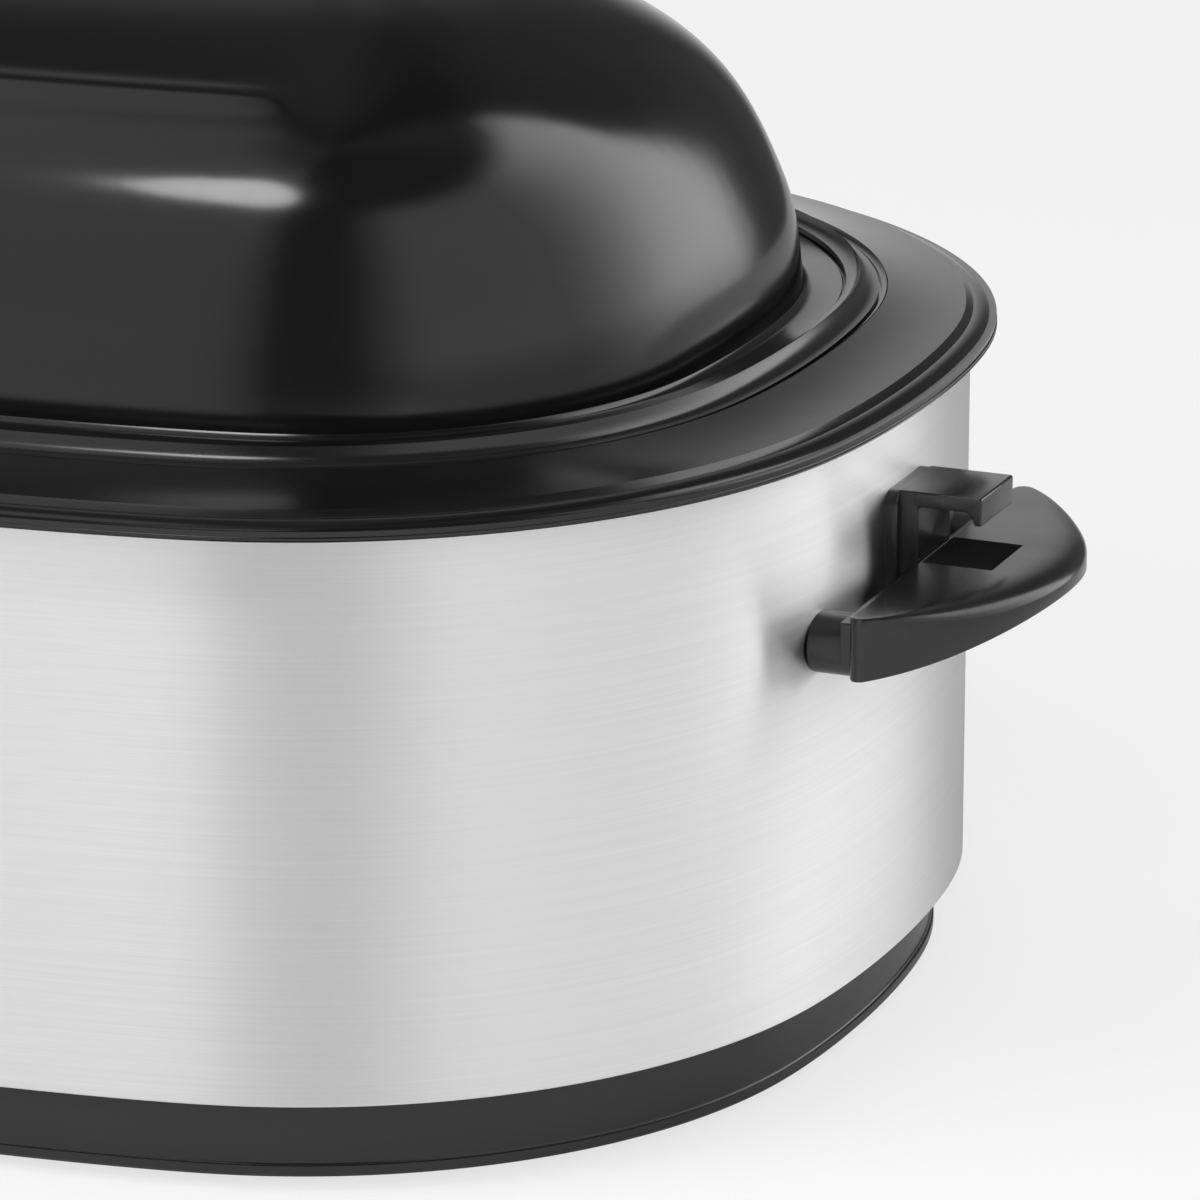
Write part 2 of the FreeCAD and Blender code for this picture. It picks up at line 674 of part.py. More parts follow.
def make_control_shaft():
    """Shaft from the thermostat into the knob, flatted where the knob holds it."""
    back = THERMOSTAT_FRONT + THERMOSTAT_DEPTH - SHAFT_TAIL
    tip = KNOB_FRONT + KNOB_FACE + HOLE_GAP
    plain = rod(SHAFT_RADIUS, Vector(0, back, DIAL_HEIGHT), Vector(0, KNOB_BACK, DIAL_HEIGHT))
    return fuse([plain, shaft_bar(0.0, KNOB_BACK, tip)])


def make_pilot_lens():
    """Domed lamp lens in the front wall."""
    y = -wall_y(LAMP_OFFSET)
    inside = Vector(-LAMP_OFFSET, y + LENS_WALL, DIAL_HEIGHT)
    outside = Vector(-LAMP_OFFSET, y, DIAL_HEIGHT)
    stem = rod(LAMP_RADIUS, Vector(-LAMP_OFFSET, y + LENS_STEM, DIAL_HEIGHT), outside)
    flange = rod(LAMP_RADIUS + LENS_FLANGE, inside, Vector(-LAMP_OFFSET, y - LENS_FLANGE_DEPTH, DIAL_HEIGHT))
    dome = Part.makeSphere(LAMP_RADIUS + LENS_WALL, inside)
    wide = LAMP_RADIUS + 2 * LENS_WALL
    front = block((-LAMP_OFFSET - wide, -LAMP_OFFSET + wide), (y - wide, y - LENS_WALL),
                  (DIAL_HEIGHT - wide, DIAL_HEIGHT + wide))
    body = slab(body_outline(), WALL_BOTTOM, RIM_BOTTOM)
    return fuse([flange.cut(body), stem, dome.common(front)])


def make_pilot_lamp():
    """Neon lamp behind the lens."""
    y = -wall_y(LAMP_OFFSET) + LENS_STEM
    return rod(LAMP_RADIUS - LENS_WALL, Vector(-LAMP_OFFSET, y, DIAL_HEIGHT),
               Vector(-LAMP_OFFSET, y + LAMP_LENGTH, DIAL_HEIGHT))


# Cord gland

def make_cord_gland():
    """Gland in the back wall, with a bore for a supply cord."""
    y = HALF_WIDTH
    flange = rod(GLAND_FLANGE_RADIUS, Vector(0, y - WALL, GLAND_HEIGHT),
                 Vector(0, y + GLAND_FLANGE, GLAND_HEIGHT))
    flange = flange.cut(slab(body_outline(), WALL_BOTTOM, RIM_BOTTOM))
    neck = Part.makeCone(GLAND_RADIUS + GLAND_TAPER, GLAND_RADIUS - GLAND_TAPER, GLAND_REACH - GLAND_FLANGE,
                         Vector(0, y + GLAND_FLANGE, GLAND_HEIGHT), ACROSS)
    stem = rod(GLAND_RADIUS, Vector(0, WALL_INSIDE - SNUG_GAP - GLAND_NUT - GLAND_STEM_SPARE, GLAND_HEIGHT),
               Vector(0, y + WALL, GLAND_HEIGHT))
    bore = rod(GLAND_BORE, Vector(0, y - GLAND_REACH, GLAND_HEIGHT),
               Vector(0, y + 2 * GLAND_REACH, GLAND_HEIGHT))
    return fuse([flange, neck, stem]).cut(bore)


def make_gland_nut():
    """Ring nut that holds the gland from inside."""
    y = WALL_INSIDE - SNUG_GAP
    ring = rod(GLAND_NUT_RADIUS, Vector(0, y - GLAND_NUT, GLAND_HEIGHT), Vector(0, y, GLAND_HEIGHT))
    hole = rod(GLAND_RADIUS, Vector(0, y - 2 * GLAND_NUT, GLAND_HEIGHT), Vector(0, y + OVERCUT, GLAND_HEIGHT))
    return ring.cut(hole)


# Carrying handles

def handle_outline(inset, low, high):
    """The D of the handle's plate, drawn in by the inset."""
    half = HANDLE_HALF - inset
    near = Vector(HANDLE_X + inset, -half, low)
    tip = Vector(HALF_LENGTH + HANDLE_REACH - inset, 0, low)
    far = Vector(HANDLE_X + inset, half, low)
    edges = [Part.Arc(near, tip, far).toShape(), Part.makeLine(far, near)]
    return Part.Face(Part.Wire(edges)).extrude(UP * (high - low))


def make_handle():
    """End handle: a D plate with a turned-down lip, wall bosses and the hook for the lid."""
    plate = handle_outline(0, HANDLE_BOTTOM, HANDLE_TOP)
    rounded = plate.makeFillet(HANDLE_ROUND, [edge for edge in plate.Edges if is_top_arc(edge)])
    hollow = handle_outline(HANDLE_PLATE, HANDLE_BOTTOM, PLATE_BOTTOM)
    shell = rounded.cut(hollow).cut(lip_relief())
    slot_x = HANDLE_X + SLOT_START
    slot = block((slot_x, slot_x + SLOT_LENGTH), (-HOOK_HALF, HOOK_HALF),
                 (HANDLE_BOTTOM - OVERCUT, HANDLE_TOP + OVERCUT))
    shell = shell.cut(slot)
    hook_x = HALF_LENGTH + HOOK_PLATE
    hook_top = HANDLE_TOP + HOOK_RISE
    wide = (-HOOK_HALF, HOOK_HALF)
    inside = HALF_LENGTH - HANDLE_REACH
    web = block((HANDLE_X - HANDLE_PLATE, HANDLE_X + HANDLE_PLATE), (-HANDLE_WEB_HALF, HANDLE_WEB_HALF),
                (HANDLE_BOTTOM + HANDLE_PLATE, PLATE_BOTTOM))
    web = web.cut(slot)
    limb = block((inside, HANDLE_X), wide, (HANDLE_BOTTOM, hook_top))
    arm = block((hook_x, HALF_LENGTH + HOOK_REACH), wide, (hook_top - HOOK_ARM, hook_top))
    lip = block((HALF_LENGTH + HOOK_REACH - HOOK_ARM / 2, HALF_LENGTH + HOOK_REACH), wide,
                (hook_top - HOOK_ARM - HOOK_LIP, hook_top))
    bosses = []
    screws = []
    for y, z in screw_axes():
        near = Vector(inside, y, z)
        bosses.append(rod(HANDLE_BOSS_RADIUS, near, Vector(HANDLE_X + HANDLE_SCREW_CAP, y, z)))
        screws.append(rod(HANDLE_SCREW_RADIUS, near, Vector(HANDLE_X - HANDLE_SCREW_CAP, y, z)))
    body = slab(body_outline(), WALL_BOTTOM, RIM_BOTTOM)
    handle = fuse([shell, web, limb, arm, lip] + bosses[:2])
    return cut_all(handle, [body] + screws)


def is_top_arc(edge):
    """Whether an edge is the curved one on the handle's top."""
    return edge.BoundBox.ZMin > HANDLE_TOP - HOLE_GAP and edge.BoundBox.XLength > HANDLE_INNER


def lip_relief():
    """What is cut under the lip, so that it gets lower towards the handle's tip."""
    tip = HALF_LENGTH + HANDLE_REACH + OVERCUT
    rise = HANDLE_LIP - HANDLE_LIP_TIP
    low = HANDLE_BOTTOM - OVERCUT
    section = profile((HANDLE_X, low), (HANDLE_X, HANDLE_BOTTOM), (-rise / 4, tip, HANDLE_BOTTOM + rise),
                      (tip, low), (HANDLE_X, low))
    section.translate(Vector(0, -HANDLE_HALF - OVERCUT, 0))
    return section.extrude(ACROSS * (2 * HANDLE_HALF + 2 * OVERCUT))


def make_backing_plates():
    """Curved steel strips inside the wall that the handle screws pull on."""
    low = HANDLE_BOTTOM
    high = HANDLE_TOP + HOOK_RISE
    ring = band(WALL + BACKING_GAP, WALL + BACKING_GAP + BACKING_SHEET, low, high)
    near = HALF_LENGTH - 2 * HANDLE_BOSS_SPREAD
    plate = ring.common(block((near, HALF_LENGTH), (-BACKING_HALF, BACKING_HALF), (low, high)))
    holes = []
    for y, z in screw_axes():
        holes.append(rod(HANDLE_SCREW_RADIUS + HOLE_GAP, Vector(near, y, z), Vector(HALF_LENGTH, y, z)))
    plate = cut_all(plate, holes)
    return Part.makeCompound([plate, turned(plate)])


def make_handle_screws():
    """Screws from inside the wall into the handles' bosses."""
    screws = []
    inside = body_outline(WALL + BACKING_GAP + BACKING_SHEET)
    core = slab(inside, WALL_BOTTOM, RIM_BOTTOM)
    for y, z in screw_axes():
        far = Vector(HANDLE_X - 2 * HANDLE_SCREW_CAP, y, z)
        if y == 0:
            seat = HALF_LENGTH - WALL - BACKING_GAP - BACKING_SHEET
        else:
            seat = face_x(abs(y) + SCREW_HEAD_RADIUS, WALL + BACKING_GAP + BACKING_SHEET)
        head = rod(SCREW_HEAD_RADIUS, Vector(seat - SCREW_HEAD, y, z), Vector(seat, y, z))
        shank = rod(HANDLE_SCREW_RADIUS, Vector(seat - SCREW_HEAD / 2, y, z), far)
        screw = fuse([head.common(core), shank])
        screws.append(screw)
        screws.append(turned(screw))
    return Part.makeCompound(screws)


def face_x(y, inset):
    """Where the right end of an inset outline stands at a given Y on its corner."""
    centre, radius, start, sweep = body_outline(inset)[1]
    return centre.x + math.sqrt(radius ** 2 - (y - centre.y) ** 2)


# Cookwell and rack

def pan_section():
    """Section of the cookwell, from its rolled bead down to the edge of its floor."""
    bead_top = PAN_LEDGE + PAN_BEAD_RISE
    bend = PAN_BEND
    wide_bend = PAN_BEND + PAN_SHEET
    corner = PAN_CORNER
    wide = PAN_CORNER + PAN_SHEET
    inner = -PAN_WALL_INSET - PAN_SHEET
    outer = -PAN_WALL_INSET
    foot = inner - PAN_TAPER
    foot_out = outer - PAN_TAPER
    return profile(
        (-BEAD_OUTSIDE, SEAT_TOP),
        (-BEAD_OUTSIDE, SEAT_TOP + PAN_BEAD_FOOT),
        (-PAN_BEAD_BULGE, -BEAD_OUTSIDE - PAN_BEAD_CREST, bead_top),
        (-PAN_BEAD_TURN_BULGE, -BEAD_INSIDE + PAN_BEAD_LEAN, bead_top - PAN_BEAD_TURN),
        (-BEAD_INSIDE, PAN_LEDGE),
        (inner + wide_bend, PAN_LEDGE),
        (-wide_bend * QUARTER, inner, PAN_LEDGE - wide_bend),
        (foot, PAN_FLOOR + corner),
        (corner * QUARTER, foot - corner, PAN_FLOOR),
        (foot - corner, PAN_FLOOR - PAN_SHEET),
        (-wide * QUARTER, foot_out, PAN_FLOOR + corner),
        (outer, PAN_LEDGE - wide_bend),
        (bend * QUARTER, outer + bend, SEAT_TOP),
        (-BEAD_OUTSIDE, SEAT_TOP),
    )


def make_cookwell():
    """Lift-out enamelled pan with a rolled bead round its ledge."""
    ring = sweep_round(pan_section(), body_outline())
    inset = PAN_WALL_INSET + PAN_SHEET + PAN_TAPER + PAN_CORNER
    floor = slab(body_outline(inset), PAN_FLOOR - PAN_SHEET, PAN_FLOOR)
    return fuse([ring, floor])


def make_rack():
    """Wire rack: a loop on short legs, cross wires and two runners."""
    circle = Part.makeCircle(RACK_WIRE, Vector(0, 0, RACK_LEVEL), ACROSS)
    pieces = [sweep_round(Part.Face(Part.Wire([circle])), body_outline(RACK_INSET))]
    for x in cross_wire_places():
        y = rack_half(abs(x))
        pieces.append(rod(RACK_WIRE, Vector(x, -y, RACK_ACROSS), Vector(x, y, RACK_ACROSS)))
    foot = PAN_FLOOR + RACK_WIRE
    leg_x = HALF_LENGTH - RACK_INSET - RACK_LEG_INSET
    for side in (-1, 1):
        y = side * (HALF_WIDTH - RACK_INSET) / 2
        x = rack_end(abs(y))
        pieces.append(rod(RACK_WIRE, Vector(-x, y, RACK_LEVEL), Vector(x, y, RACK_LEVEL)))
        for end in (-1, 1):
            leg = Vector(end * leg_x, y, foot)
            pieces.append(post(RACK_WIRE, leg, foot, RACK_LEVEL))
            pieces.append(Part.makeSphere(RACK_WIRE, leg))
    return fuse(pieces)


def cross_wire_places():
    """Where the rack's cross wires lie along X."""
    count = int((HALF_LENGTH - RACK_INSET - RACK_PITCH / 2) // RACK_PITCH)
    return [index * RACK_PITCH for index in range(-count, count + 1)]


def make_rack_loops():
    """Two upright loops welded on the outermost cross wires, by which the rack is lifted."""
    places = cross_wire_places()
    return Part.makeCompound([lift_loop(places[0]), lift_loop(places[-1])])


def rack_half(x):
    """Half the rack's width at a given X."""
    corner, side = body_outline(RACK_INSET)[1:3]
    join = side[1] * math.cos(math.radians(side[2]))
    centre, radius, start, sweep = side if x < join else corner
    return centre.y + math.sqrt(radius ** 2 - (x - centre.x) ** 2)


def rack_end(y):
    """Half the rack's length at a given Y."""
    centre, radius, start, sweep = body_outline(RACK_INSET)[1]
    return centre.x + math.sqrt(radius ** 2 - (y - centre.y) ** 2)


def lift_loop(x):
    """An upright loop on a cross wire."""
    half = RACK_LIFT_HALF
    top = RACK_ACROSS + RACK_LIFT_HEIGHT
    low = RACK_ACROSS
    corners = [Vector(x, -half, low), Vector(x, -half, top), Vector(x, half, top), Vector(x, half, low)]
    pieces = []
    for start, end in zip(corners, corners[1:]):
        pieces.append(rod(RACK_WIRE, start, end))
    for corner in corners[1:3]:
        pieces.append(Part.makeSphere(RACK_WIRE, corner))
    wire = rod(RACK_WIRE, Vector(x, -2 * half, RACK_ACROSS), Vector(x, 2 * half, RACK_ACROSS))
    return fuse(pieces).cut(wire).Solids[0]


# Lid

def lid_outline(draw=0.0):
    """The dome's outline, drawn in from its foot."""
    return outline(HALF_LENGTH - LID_END_INSET - draw, HALF_WIDTH - LID_SIDE_INSET - draw,
                   SIDE_RADIUS - LID_SIDE_INSET - draw, END_RADIUS - LID_END_INSET - draw,
                   LID_CORNER_RADIUS - draw)


def dome_curve(thickness):
    """Places on the dome's section, from its foot to the edge of its crown."""
    points = []
    for draw, share in DOME_FLANK:
        points.append(Vector(-draw - thickness * (1 - share), 0,
                             LID_FLANGE_TOP + share * LID_HEIGHT - thickness * share))
    points.append(Vector(-LID_CROWN_DRAW, 0, crown() - thickness))
    return points


def make_lid_shell():
    """Domed lid of enamelled steel with a flat flange that lies in the cookwell's ledge."""
    low = LID_FLANGE_TOP - LID_SHEET
    outside = dome_curve(0.0)
    inside = dome_curve(LID_SHEET)
    edges = [smooth_edge(outside), Part.makeLine(outside[-1], inside[-1]),
             smooth_edge(inside[::-1]), Part.makeLine(inside[0], outside[0])]
    wall = sweep_round(Part.Face(Part.Wire(edges)), lid_outline())
    top = slab(lid_outline(LID_CROWN_DRAW), crown() - LID_SHEET, crown())
    flange = slab(body_outline(BEAD_INSIDE + LID_EDGE_GAP), low, LID_FLANGE_TOP)
    flange = flange.cut(slab(lid_outline(LID_SHEET), low, LID_FLANGE_TOP))
    holes = []
    for x in lid_screw_places():
        holes.append(post(LID_SCREW_RADIUS + HOLE_GAP, Vector(x, 0, 0), LID_FLANGE_TOP, LID_TOP))
    return cut_all(fuse([wall, top, flange]), holes)


def lid_screw_places():
    """Where the two lid screws stand along X."""
    reach = (LID_HANDLE_LENGTH - LID_HANDLE_FOOT) / 2
    return (-reach, reach)


def crown():
    """Height of the flat on top of the dome."""
    return LID_FLANGE_TOP + LID_CROWN_SHARE * LID_HEIGHT


def make_lid_handle():
    """Arched grip with two feet on the lid's crown and a gap for the fingers."""
    half = LID_HANDLE_LENGTH / 2
    low = crown()
    top = low + LID_HANDLE_HEIGHT
    under = top - LID_HANDLE_BAR
    gap = half - LID_HANDLE_FOOT
    side = LID_HANDLE_SHOULDER
    arch = LID_HANDLE_ARCH
    crest = top - arch
    outer = profile((-half, low), (-half, low + side), (LID_HANDLE_CHEEK, -gap, crest), (arch, gap, crest),
                    (LID_HANDLE_CHEEK, half, low + side), (half, low), (-half, low))
    opening = profile((-gap, low - OVERCUT), (-gap, under - side), (side * QUARTER, -gap + side, under),
                      (gap - side, under), (side * QUARTER, gap, under - side), (gap, low - OVERCUT),
                      (-gap, low - OVERCUT))
    grip = outer.cut(opening)
    grip.translate(Vector(0, -LID_HANDLE_WIDTH / 2, 0))
    solid = grip.extrude(ACROSS * LID_HANDLE_WIDTH).Solids[0]
    edges = [edge for edge in solid.Edges if rounds_grip(edge, low)]
    solid = solid.makeFillet(LID_HANDLE_ROUND, edges)
    holes = []
    for x in lid_screw_places():
        holes.append(post(LID_SCREW_RADIUS, Vector(x, 0, 0), low, low + LID_SCREW_REACH + LID_SCREW_SPARE))
    return cut_all(solid, holes)


def rounds_grip(edge, low):
    """Whether an edge runs along the grip, not across it and not on the lid."""
    box = edge.BoundBox
    return box.YLength < HOLE_GAP and box.ZMax > low + HOLE_GAP


def make_lid_screws():
    """Screws from inside the lid up into the grip's feet."""
    screws = []
    under = crown() - LID_SHEET - LID_SHEET
    for x in lid_screw_places():
        at = Vector(x, 0, 0)
        head = post(SCREW_HEAD_RADIUS, at, under - SCREW_HEAD, under)
        screws.append(fuse([head, post(LID_SCREW_RADIUS, at, under, crown() + LID_SCREW_REACH)]))
    return Part.makeCompound(screws)


def make_lid_washers():
    """Washers under the lid screws' heads."""
    washers = []
    high = crown() - LID_SHEET
    low = high - LID_SHEET
    for x in lid_screw_places():
        at = Vector(x, 0, 0)
        washers.append(post(WASHER_RADIUS, at, low, high).cut(post(LID_SCREW_RADIUS, at, low, high)))
    return Part.makeCompound(washers)


def make_parts():
    """Every piece by its name."""
    handle = make_handle()
    return {
        "feet": make_feet(),
        "base_pan": make_base_pan(),
        "base_screws": make_base_screws(),
        "base_nuts": make_base_nuts(),
        "heat_shield": make_heat_shield(),
        "centre_stud": make_centre_stud(),
        "centre_nut": make_centre_nut(),
        "outer_wall": make_outer_wall(),
        "heat_well": make_heat_well(),
        "heater_band": make_heater_band(),
        "heater_terminals": make_heater_terminals(),
        "insulation": make_insulation(),
        "terminal_block": make_terminal_block(),
        "thermostat_leads": make_lead_rings(),
        "thermostat": make_thermostat(),
        "thermostat_sensor": make_thermostat_sensor(),
        "control_bezel": make_control_bezel(),
        "pilot_lens": make_pilot_lens(),
        "pilot_lamp": make_pilot_lamp(),
        "cord_gland": make_cord_gland(),
        "gland_nut": make_gland_nut(),
        "handle_right": handle,
        "handle_left": turned(handle),
        "handle_backing_plates": make_backing_plates(),
        "handle_screws": make_handle_screws(),
        "control_knob": make_control_knob(),
        "control_shaft": make_control_shaft(),
        "cookwell": make_cookwell(),
        "roasting_rack": make_rack(),
        "rack_lift_loops": make_rack_loops(),
        "lid_shell": make_lid_shell(),
        "lid_handle": make_lid_handle(),
        "lid_screws": make_lid_screws(),
        "lid_washers": make_lid_washers(),
    }


def main():
    """Write each piece to its own file."""
    os.makedirs("parts", exist_ok=True)
    for name, shape in make_parts().items():
        shape.exportStep(os.path.join("parts", name + ".step"))
        print(name, "solids", len(shape.Solids), "volume", round(shape.Volume), "valid", shape.isValid())


main()
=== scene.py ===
import json
import math

import bmesh
import bpy
import numpy as np
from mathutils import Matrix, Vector


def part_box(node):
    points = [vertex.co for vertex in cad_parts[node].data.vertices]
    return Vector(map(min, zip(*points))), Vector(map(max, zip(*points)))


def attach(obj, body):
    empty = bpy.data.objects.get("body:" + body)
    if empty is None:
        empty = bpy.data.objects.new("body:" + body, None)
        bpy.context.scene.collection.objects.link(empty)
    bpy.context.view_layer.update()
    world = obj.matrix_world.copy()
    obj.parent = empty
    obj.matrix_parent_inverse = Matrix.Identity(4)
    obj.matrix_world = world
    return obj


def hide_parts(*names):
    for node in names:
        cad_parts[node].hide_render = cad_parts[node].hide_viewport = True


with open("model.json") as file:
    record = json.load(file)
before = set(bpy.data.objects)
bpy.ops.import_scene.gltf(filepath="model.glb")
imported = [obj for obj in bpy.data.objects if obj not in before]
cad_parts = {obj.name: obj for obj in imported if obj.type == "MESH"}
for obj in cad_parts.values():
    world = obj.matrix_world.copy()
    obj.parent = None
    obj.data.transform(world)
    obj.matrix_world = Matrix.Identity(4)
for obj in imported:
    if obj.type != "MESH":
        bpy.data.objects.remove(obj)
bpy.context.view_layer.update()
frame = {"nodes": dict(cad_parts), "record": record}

# Electric roaster oven, in metres: +X along its length, the dial on the -Y side, Z up.

# Places taken from the frame
WALL_LOW, WALL_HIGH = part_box("outer_wall")
RIM_LOW, RIM_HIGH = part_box("heat_well")
PAN_LOW, PAN_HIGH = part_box("cookwell")
LID_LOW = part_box("lid_shell")[0]
BASE_LOW, BASE_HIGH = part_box("base_pan")
GRIP_LOW, GRIP_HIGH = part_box("lid_handle")
HANDLE_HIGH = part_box("handle_right")[1]
BEZEL_LOW, BEZEL_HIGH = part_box("control_bezel")
KNOB_LOW, KNOB_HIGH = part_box("control_knob")
LENS_LOW, LENS_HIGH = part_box("pilot_lens")
HALF_LENGTH = WALL_HIGH.x
HALF_WIDTH = WALL_HIGH.y
RIM_TOP = RIM_HIGH.z
BEAD_TOP = PAN_HIGH.z
LEDGE_TOP = LID_LOW.z
DIAL_HEIGHT = (BEZEL_LOW.z + BEZEL_HIGH.z) / 2

# Radii of the steel body's outline
SIDE_RADIUS = 0.820
END_RADIUS = 0.380
CORNER_RADIUS = 0.151

# Outline of the lid's dome, drawn in from the body's
LID_END_INSET = 0.043
LID_SIDE_INSET = 0.049
LID_CORNER_RADIUS = 0.106

# How finely outlines are drawn, how far their arcs blend, and the angle from which an edge stays sharp
RING_POINTS = 384
QUARTER_STEPS = 3600
SOFTENING = math.radians(2.5)
SHARP = math.radians(32)

# A quarter turn's bulge from its chord, as a share of its radius
QUARTER_BULGE = math.sqrt(2) / 2 * (math.sqrt(2) - 1)

# Sheets
WALL = 0.0008
RIM_SHEET = 0.0011
SHEET = 0.0010

# Insets of the rim's, pan's and lid's lines from the body's outline
RIM_OVERHANG = RIM_HIGH.x - HALF_LENGTH
SEAT_INSET = 0.0236
SEAT_TOP = LEDGE_TOP - SHEET
WELL_INSET = 0.040
WELL_CORNER = 0.022
BEAD_OUTSIDE = SEAT_INSET + 0.0008
BEAD_INSIDE = BEAD_OUTSIDE + 0.009
PAN_WALL_INSET = 0.046
PAN_TAPER = 0.007
PAN_CORNER = 0.024
BASE_INSET = 0.0076

# Carrying handles: the right end's numbers, which the left end mirrors
HANDLE_CHORD = HALF_LENGTH + 0.008
HANDLE_TIP = HANDLE_HIGH.x
HANDLE_HALF = HANDLE_HIGH.y
HANDLE_TOP = 0.134
HANDLE_CORNER = 0.0032
PLATE = 0.003
LIP_LOW = 0.117
LIP_TIP_LOW = 0.127
HOOK_HALF = 0.012
HOOK_TOP = HANDLE_HIGH.z
HOOK_REACH = 0.025
HOOK_ARM = 0.004
HOOK_LIP = 0.0034
SLOT_START = 0.001
SLOT_END = 0.020
SLOT_WALL = 0.0012
PAD_DEPTH = 0.003
PAD_BORDER = 0.0022
WEB_END = 0.060
BOSS_OUT = 0.050
BOSS_RADIUS = 0.008
BOSS_POINTS = 48

# Dial plate: its bore, the sweep of its scale from a first angle down, and where figures and marks stand
DIAL_CENTRE = (0.0, DIAL_HEIGHT)
BEZEL_POINTS = 96
BORE = 0.0052
SCALE_START = 225
SCALE_SWEEP = 270
FIGURES = ("200", "250", "300", "350", "400", "450")
FIGURE_RADIUS = 0.0360
FIGURE_SIZE = 0.0062
MARKS_PER_FIGURE = 5
MARK_START = 0.0285
MARK_END = 0.0300
LONG_MARK_END = 0.0310
INK_HEIGHT = 0.00012

# Knob and lens
KNURLS = 40
KNURL_DEPTH = 0.0004
KNURLED_FROM = 0.022
KNOB_POINTS = 160
LENS_POINTS = 64
GRIP_HALF = 0.0068
GRIP_LENGTH = 0.0195

# Floor and studio
FLOOR_HALF = 1.7
FLOOR_WHITE = 0.72
ROOM_LIGHT = 0.4

# Camera, fitted to the photograph
CAMERA_PLACE = Vector((0.8828, -1.7068, 0.6903))
CAMERA_AZIMUTH = math.radians(22.51)
CAMERA_DROP = math.radians(17.46)
LENS = 222.15
SENSOR = 36.0


# Outlines

class Outline:
    """A smooth oval of eight arcs, whose points are kept by the direction that they face."""

    def __init__(self, half_length, half_width, side_radius, end_radius, corner_radius):
        low, high = corner_range(half_length, half_width, side_radius, end_radius, corner_radius)
        angles = (np.arange(4 * QUARTER_STEPS) + 0.5) * (math.pi / 2 / QUARTER_STEPS)
        folded = np.arcsin(np.abs(np.sin(angles)))
        radius = np.where(folded < low, end_radius, np.where(folded < high, corner_radius, side_radius))
        radius = smooth_loop(radius, SOFTENING / angles[0] / 2)
        step = angles[1] - angles[0]
        quarter = slice(0, QUARTER_STEPS)
        short_x = half_length - np.sum(radius[quarter] * np.sin(angles[quarter])) * step
        short_y = half_width - np.sum(radius[quarter] * np.cos(angles[quarter])) * step
        radius = radius + (short_x + short_y) / 2 + 1.5 * (short_y - short_x) * np.cos(2 * angles)
        x = half_length - np.cumsum(radius * np.sin(angles)) * step
        y = np.cumsum(radius * np.cos(angles)) * step
        edges = angles + step / 2
        self.angles = facing_angles(edges, np.cumsum(radius) * step) if FACING is None else FACING
        self.x = np.interp(self.angles, edges, x)
        self.y = np.interp(self.angles, edges, y)
        self.facing = np.column_stack([np.cos(self.angles), np.sin(self.angles)])

    def ring(self, inset, height):
        """Points of the outline drawn in by the inset, at a height."""
        flat = np.column_stack([self.x, self.y]) - self.facing * inset
        return np.column_stack([flat, np.full(len(flat), height)])


def corner_range(half_length, half_width, side_radius, end_radius, corner_radius):
    """The first and last direction that the corner arc faces."""
    side = Vector((0, half_width - side_radius))
    end = Vector((half_length - end_radius, 0))
    from_side = side_radius - corner_radius
    from_end = end_radius - corner_radius
    apart = (end - side).length
    along = (from_side ** 2 - from_end ** 2 + apart ** 2) / (2 * apart)
    away = math.sqrt(from_side ** 2 - along ** 2)
    unit = (end - side).normalized()
    corner = side + unit * along + Vector((-unit.y, unit.x)) * -away
    return math.atan2(corner.y, corner.x - end.x), math.atan2(corner.y - side.y, corner.x)


def smooth_loop(values, spread):
    """Values round a closed loop, blurred."""
    reach = int(4 * spread)
    weights = np.exp(-0.5 * (np.arange(-reach, reach + 1) / spread) ** 2)
    wrapped = np.concatenate([values[-reach:], values, values[:reach]])
    return np.convolve(wrapped, weights / weights.sum(), mode="valid")


def facing_angles(angles, length):
    """Directions spread half by the outline's length and half by its turning."""
    share = 0.5 * length / length[-1] + 0.5 * angles / angles[-1]
    return np.interp(np.arange(RING_POINTS) / RING_POINTS, share, angles)


# The body's outline sets the directions, which every later outline shares
FACING = None
BODY = Outline(HALF_LENGTH, HALF_WIDTH, SIDE_RADIUS, END_RADIUS, CORNER_RADIUS)
FACING = BODY.angles
DOME = Outline(HALF_LENGTH - LID_END_INSET, HALF_WIDTH - LID_SIDE_INSET, SIDE_RADIUS - LID_SIDE_INSET,
               END_RADIUS - LID_END_INSET, LID_CORNER_RADIUS)


# Sections: lists of inset and height

def bow(start, end, bulge):
    """Points after the start along an arc that stands the bulge to the left of its chord."""
    (ax, ay), (bx, by) = start, end
    count = 6
    points = []
    half = math.hypot(bx - ax, by - ay) / 2
    turn = 4 * math.atan2(abs(bulge), half)
    radius = half / math.sin(turn / 2)
    side = math.copysign(1, bulge)
    ux, uy = (bx - ax) / 2 / half, (by - ay) / 2 / half
    for index in range(1, count + 1):
        angle = turn * (index / count - 0.5)
        along = radius * math.sin(angle)
        out = side * radius * (math.cos(angle) - math.cos(turn / 2))
        points.append(((ax + bx) / 2 + ux * along - uy * out, (ay + by) / 2 + uy * along + ux * out))
    return points


def section(start, *steps):
    """A line of points: two numbers are a straight run's end, three an arc's bulge and end."""
    points = [start]
    for step in steps:
        if len(step) == 2:
            points.append(step)
        else:
            points.extend(bow(points[-1], step[1:], step[0]))
    return points


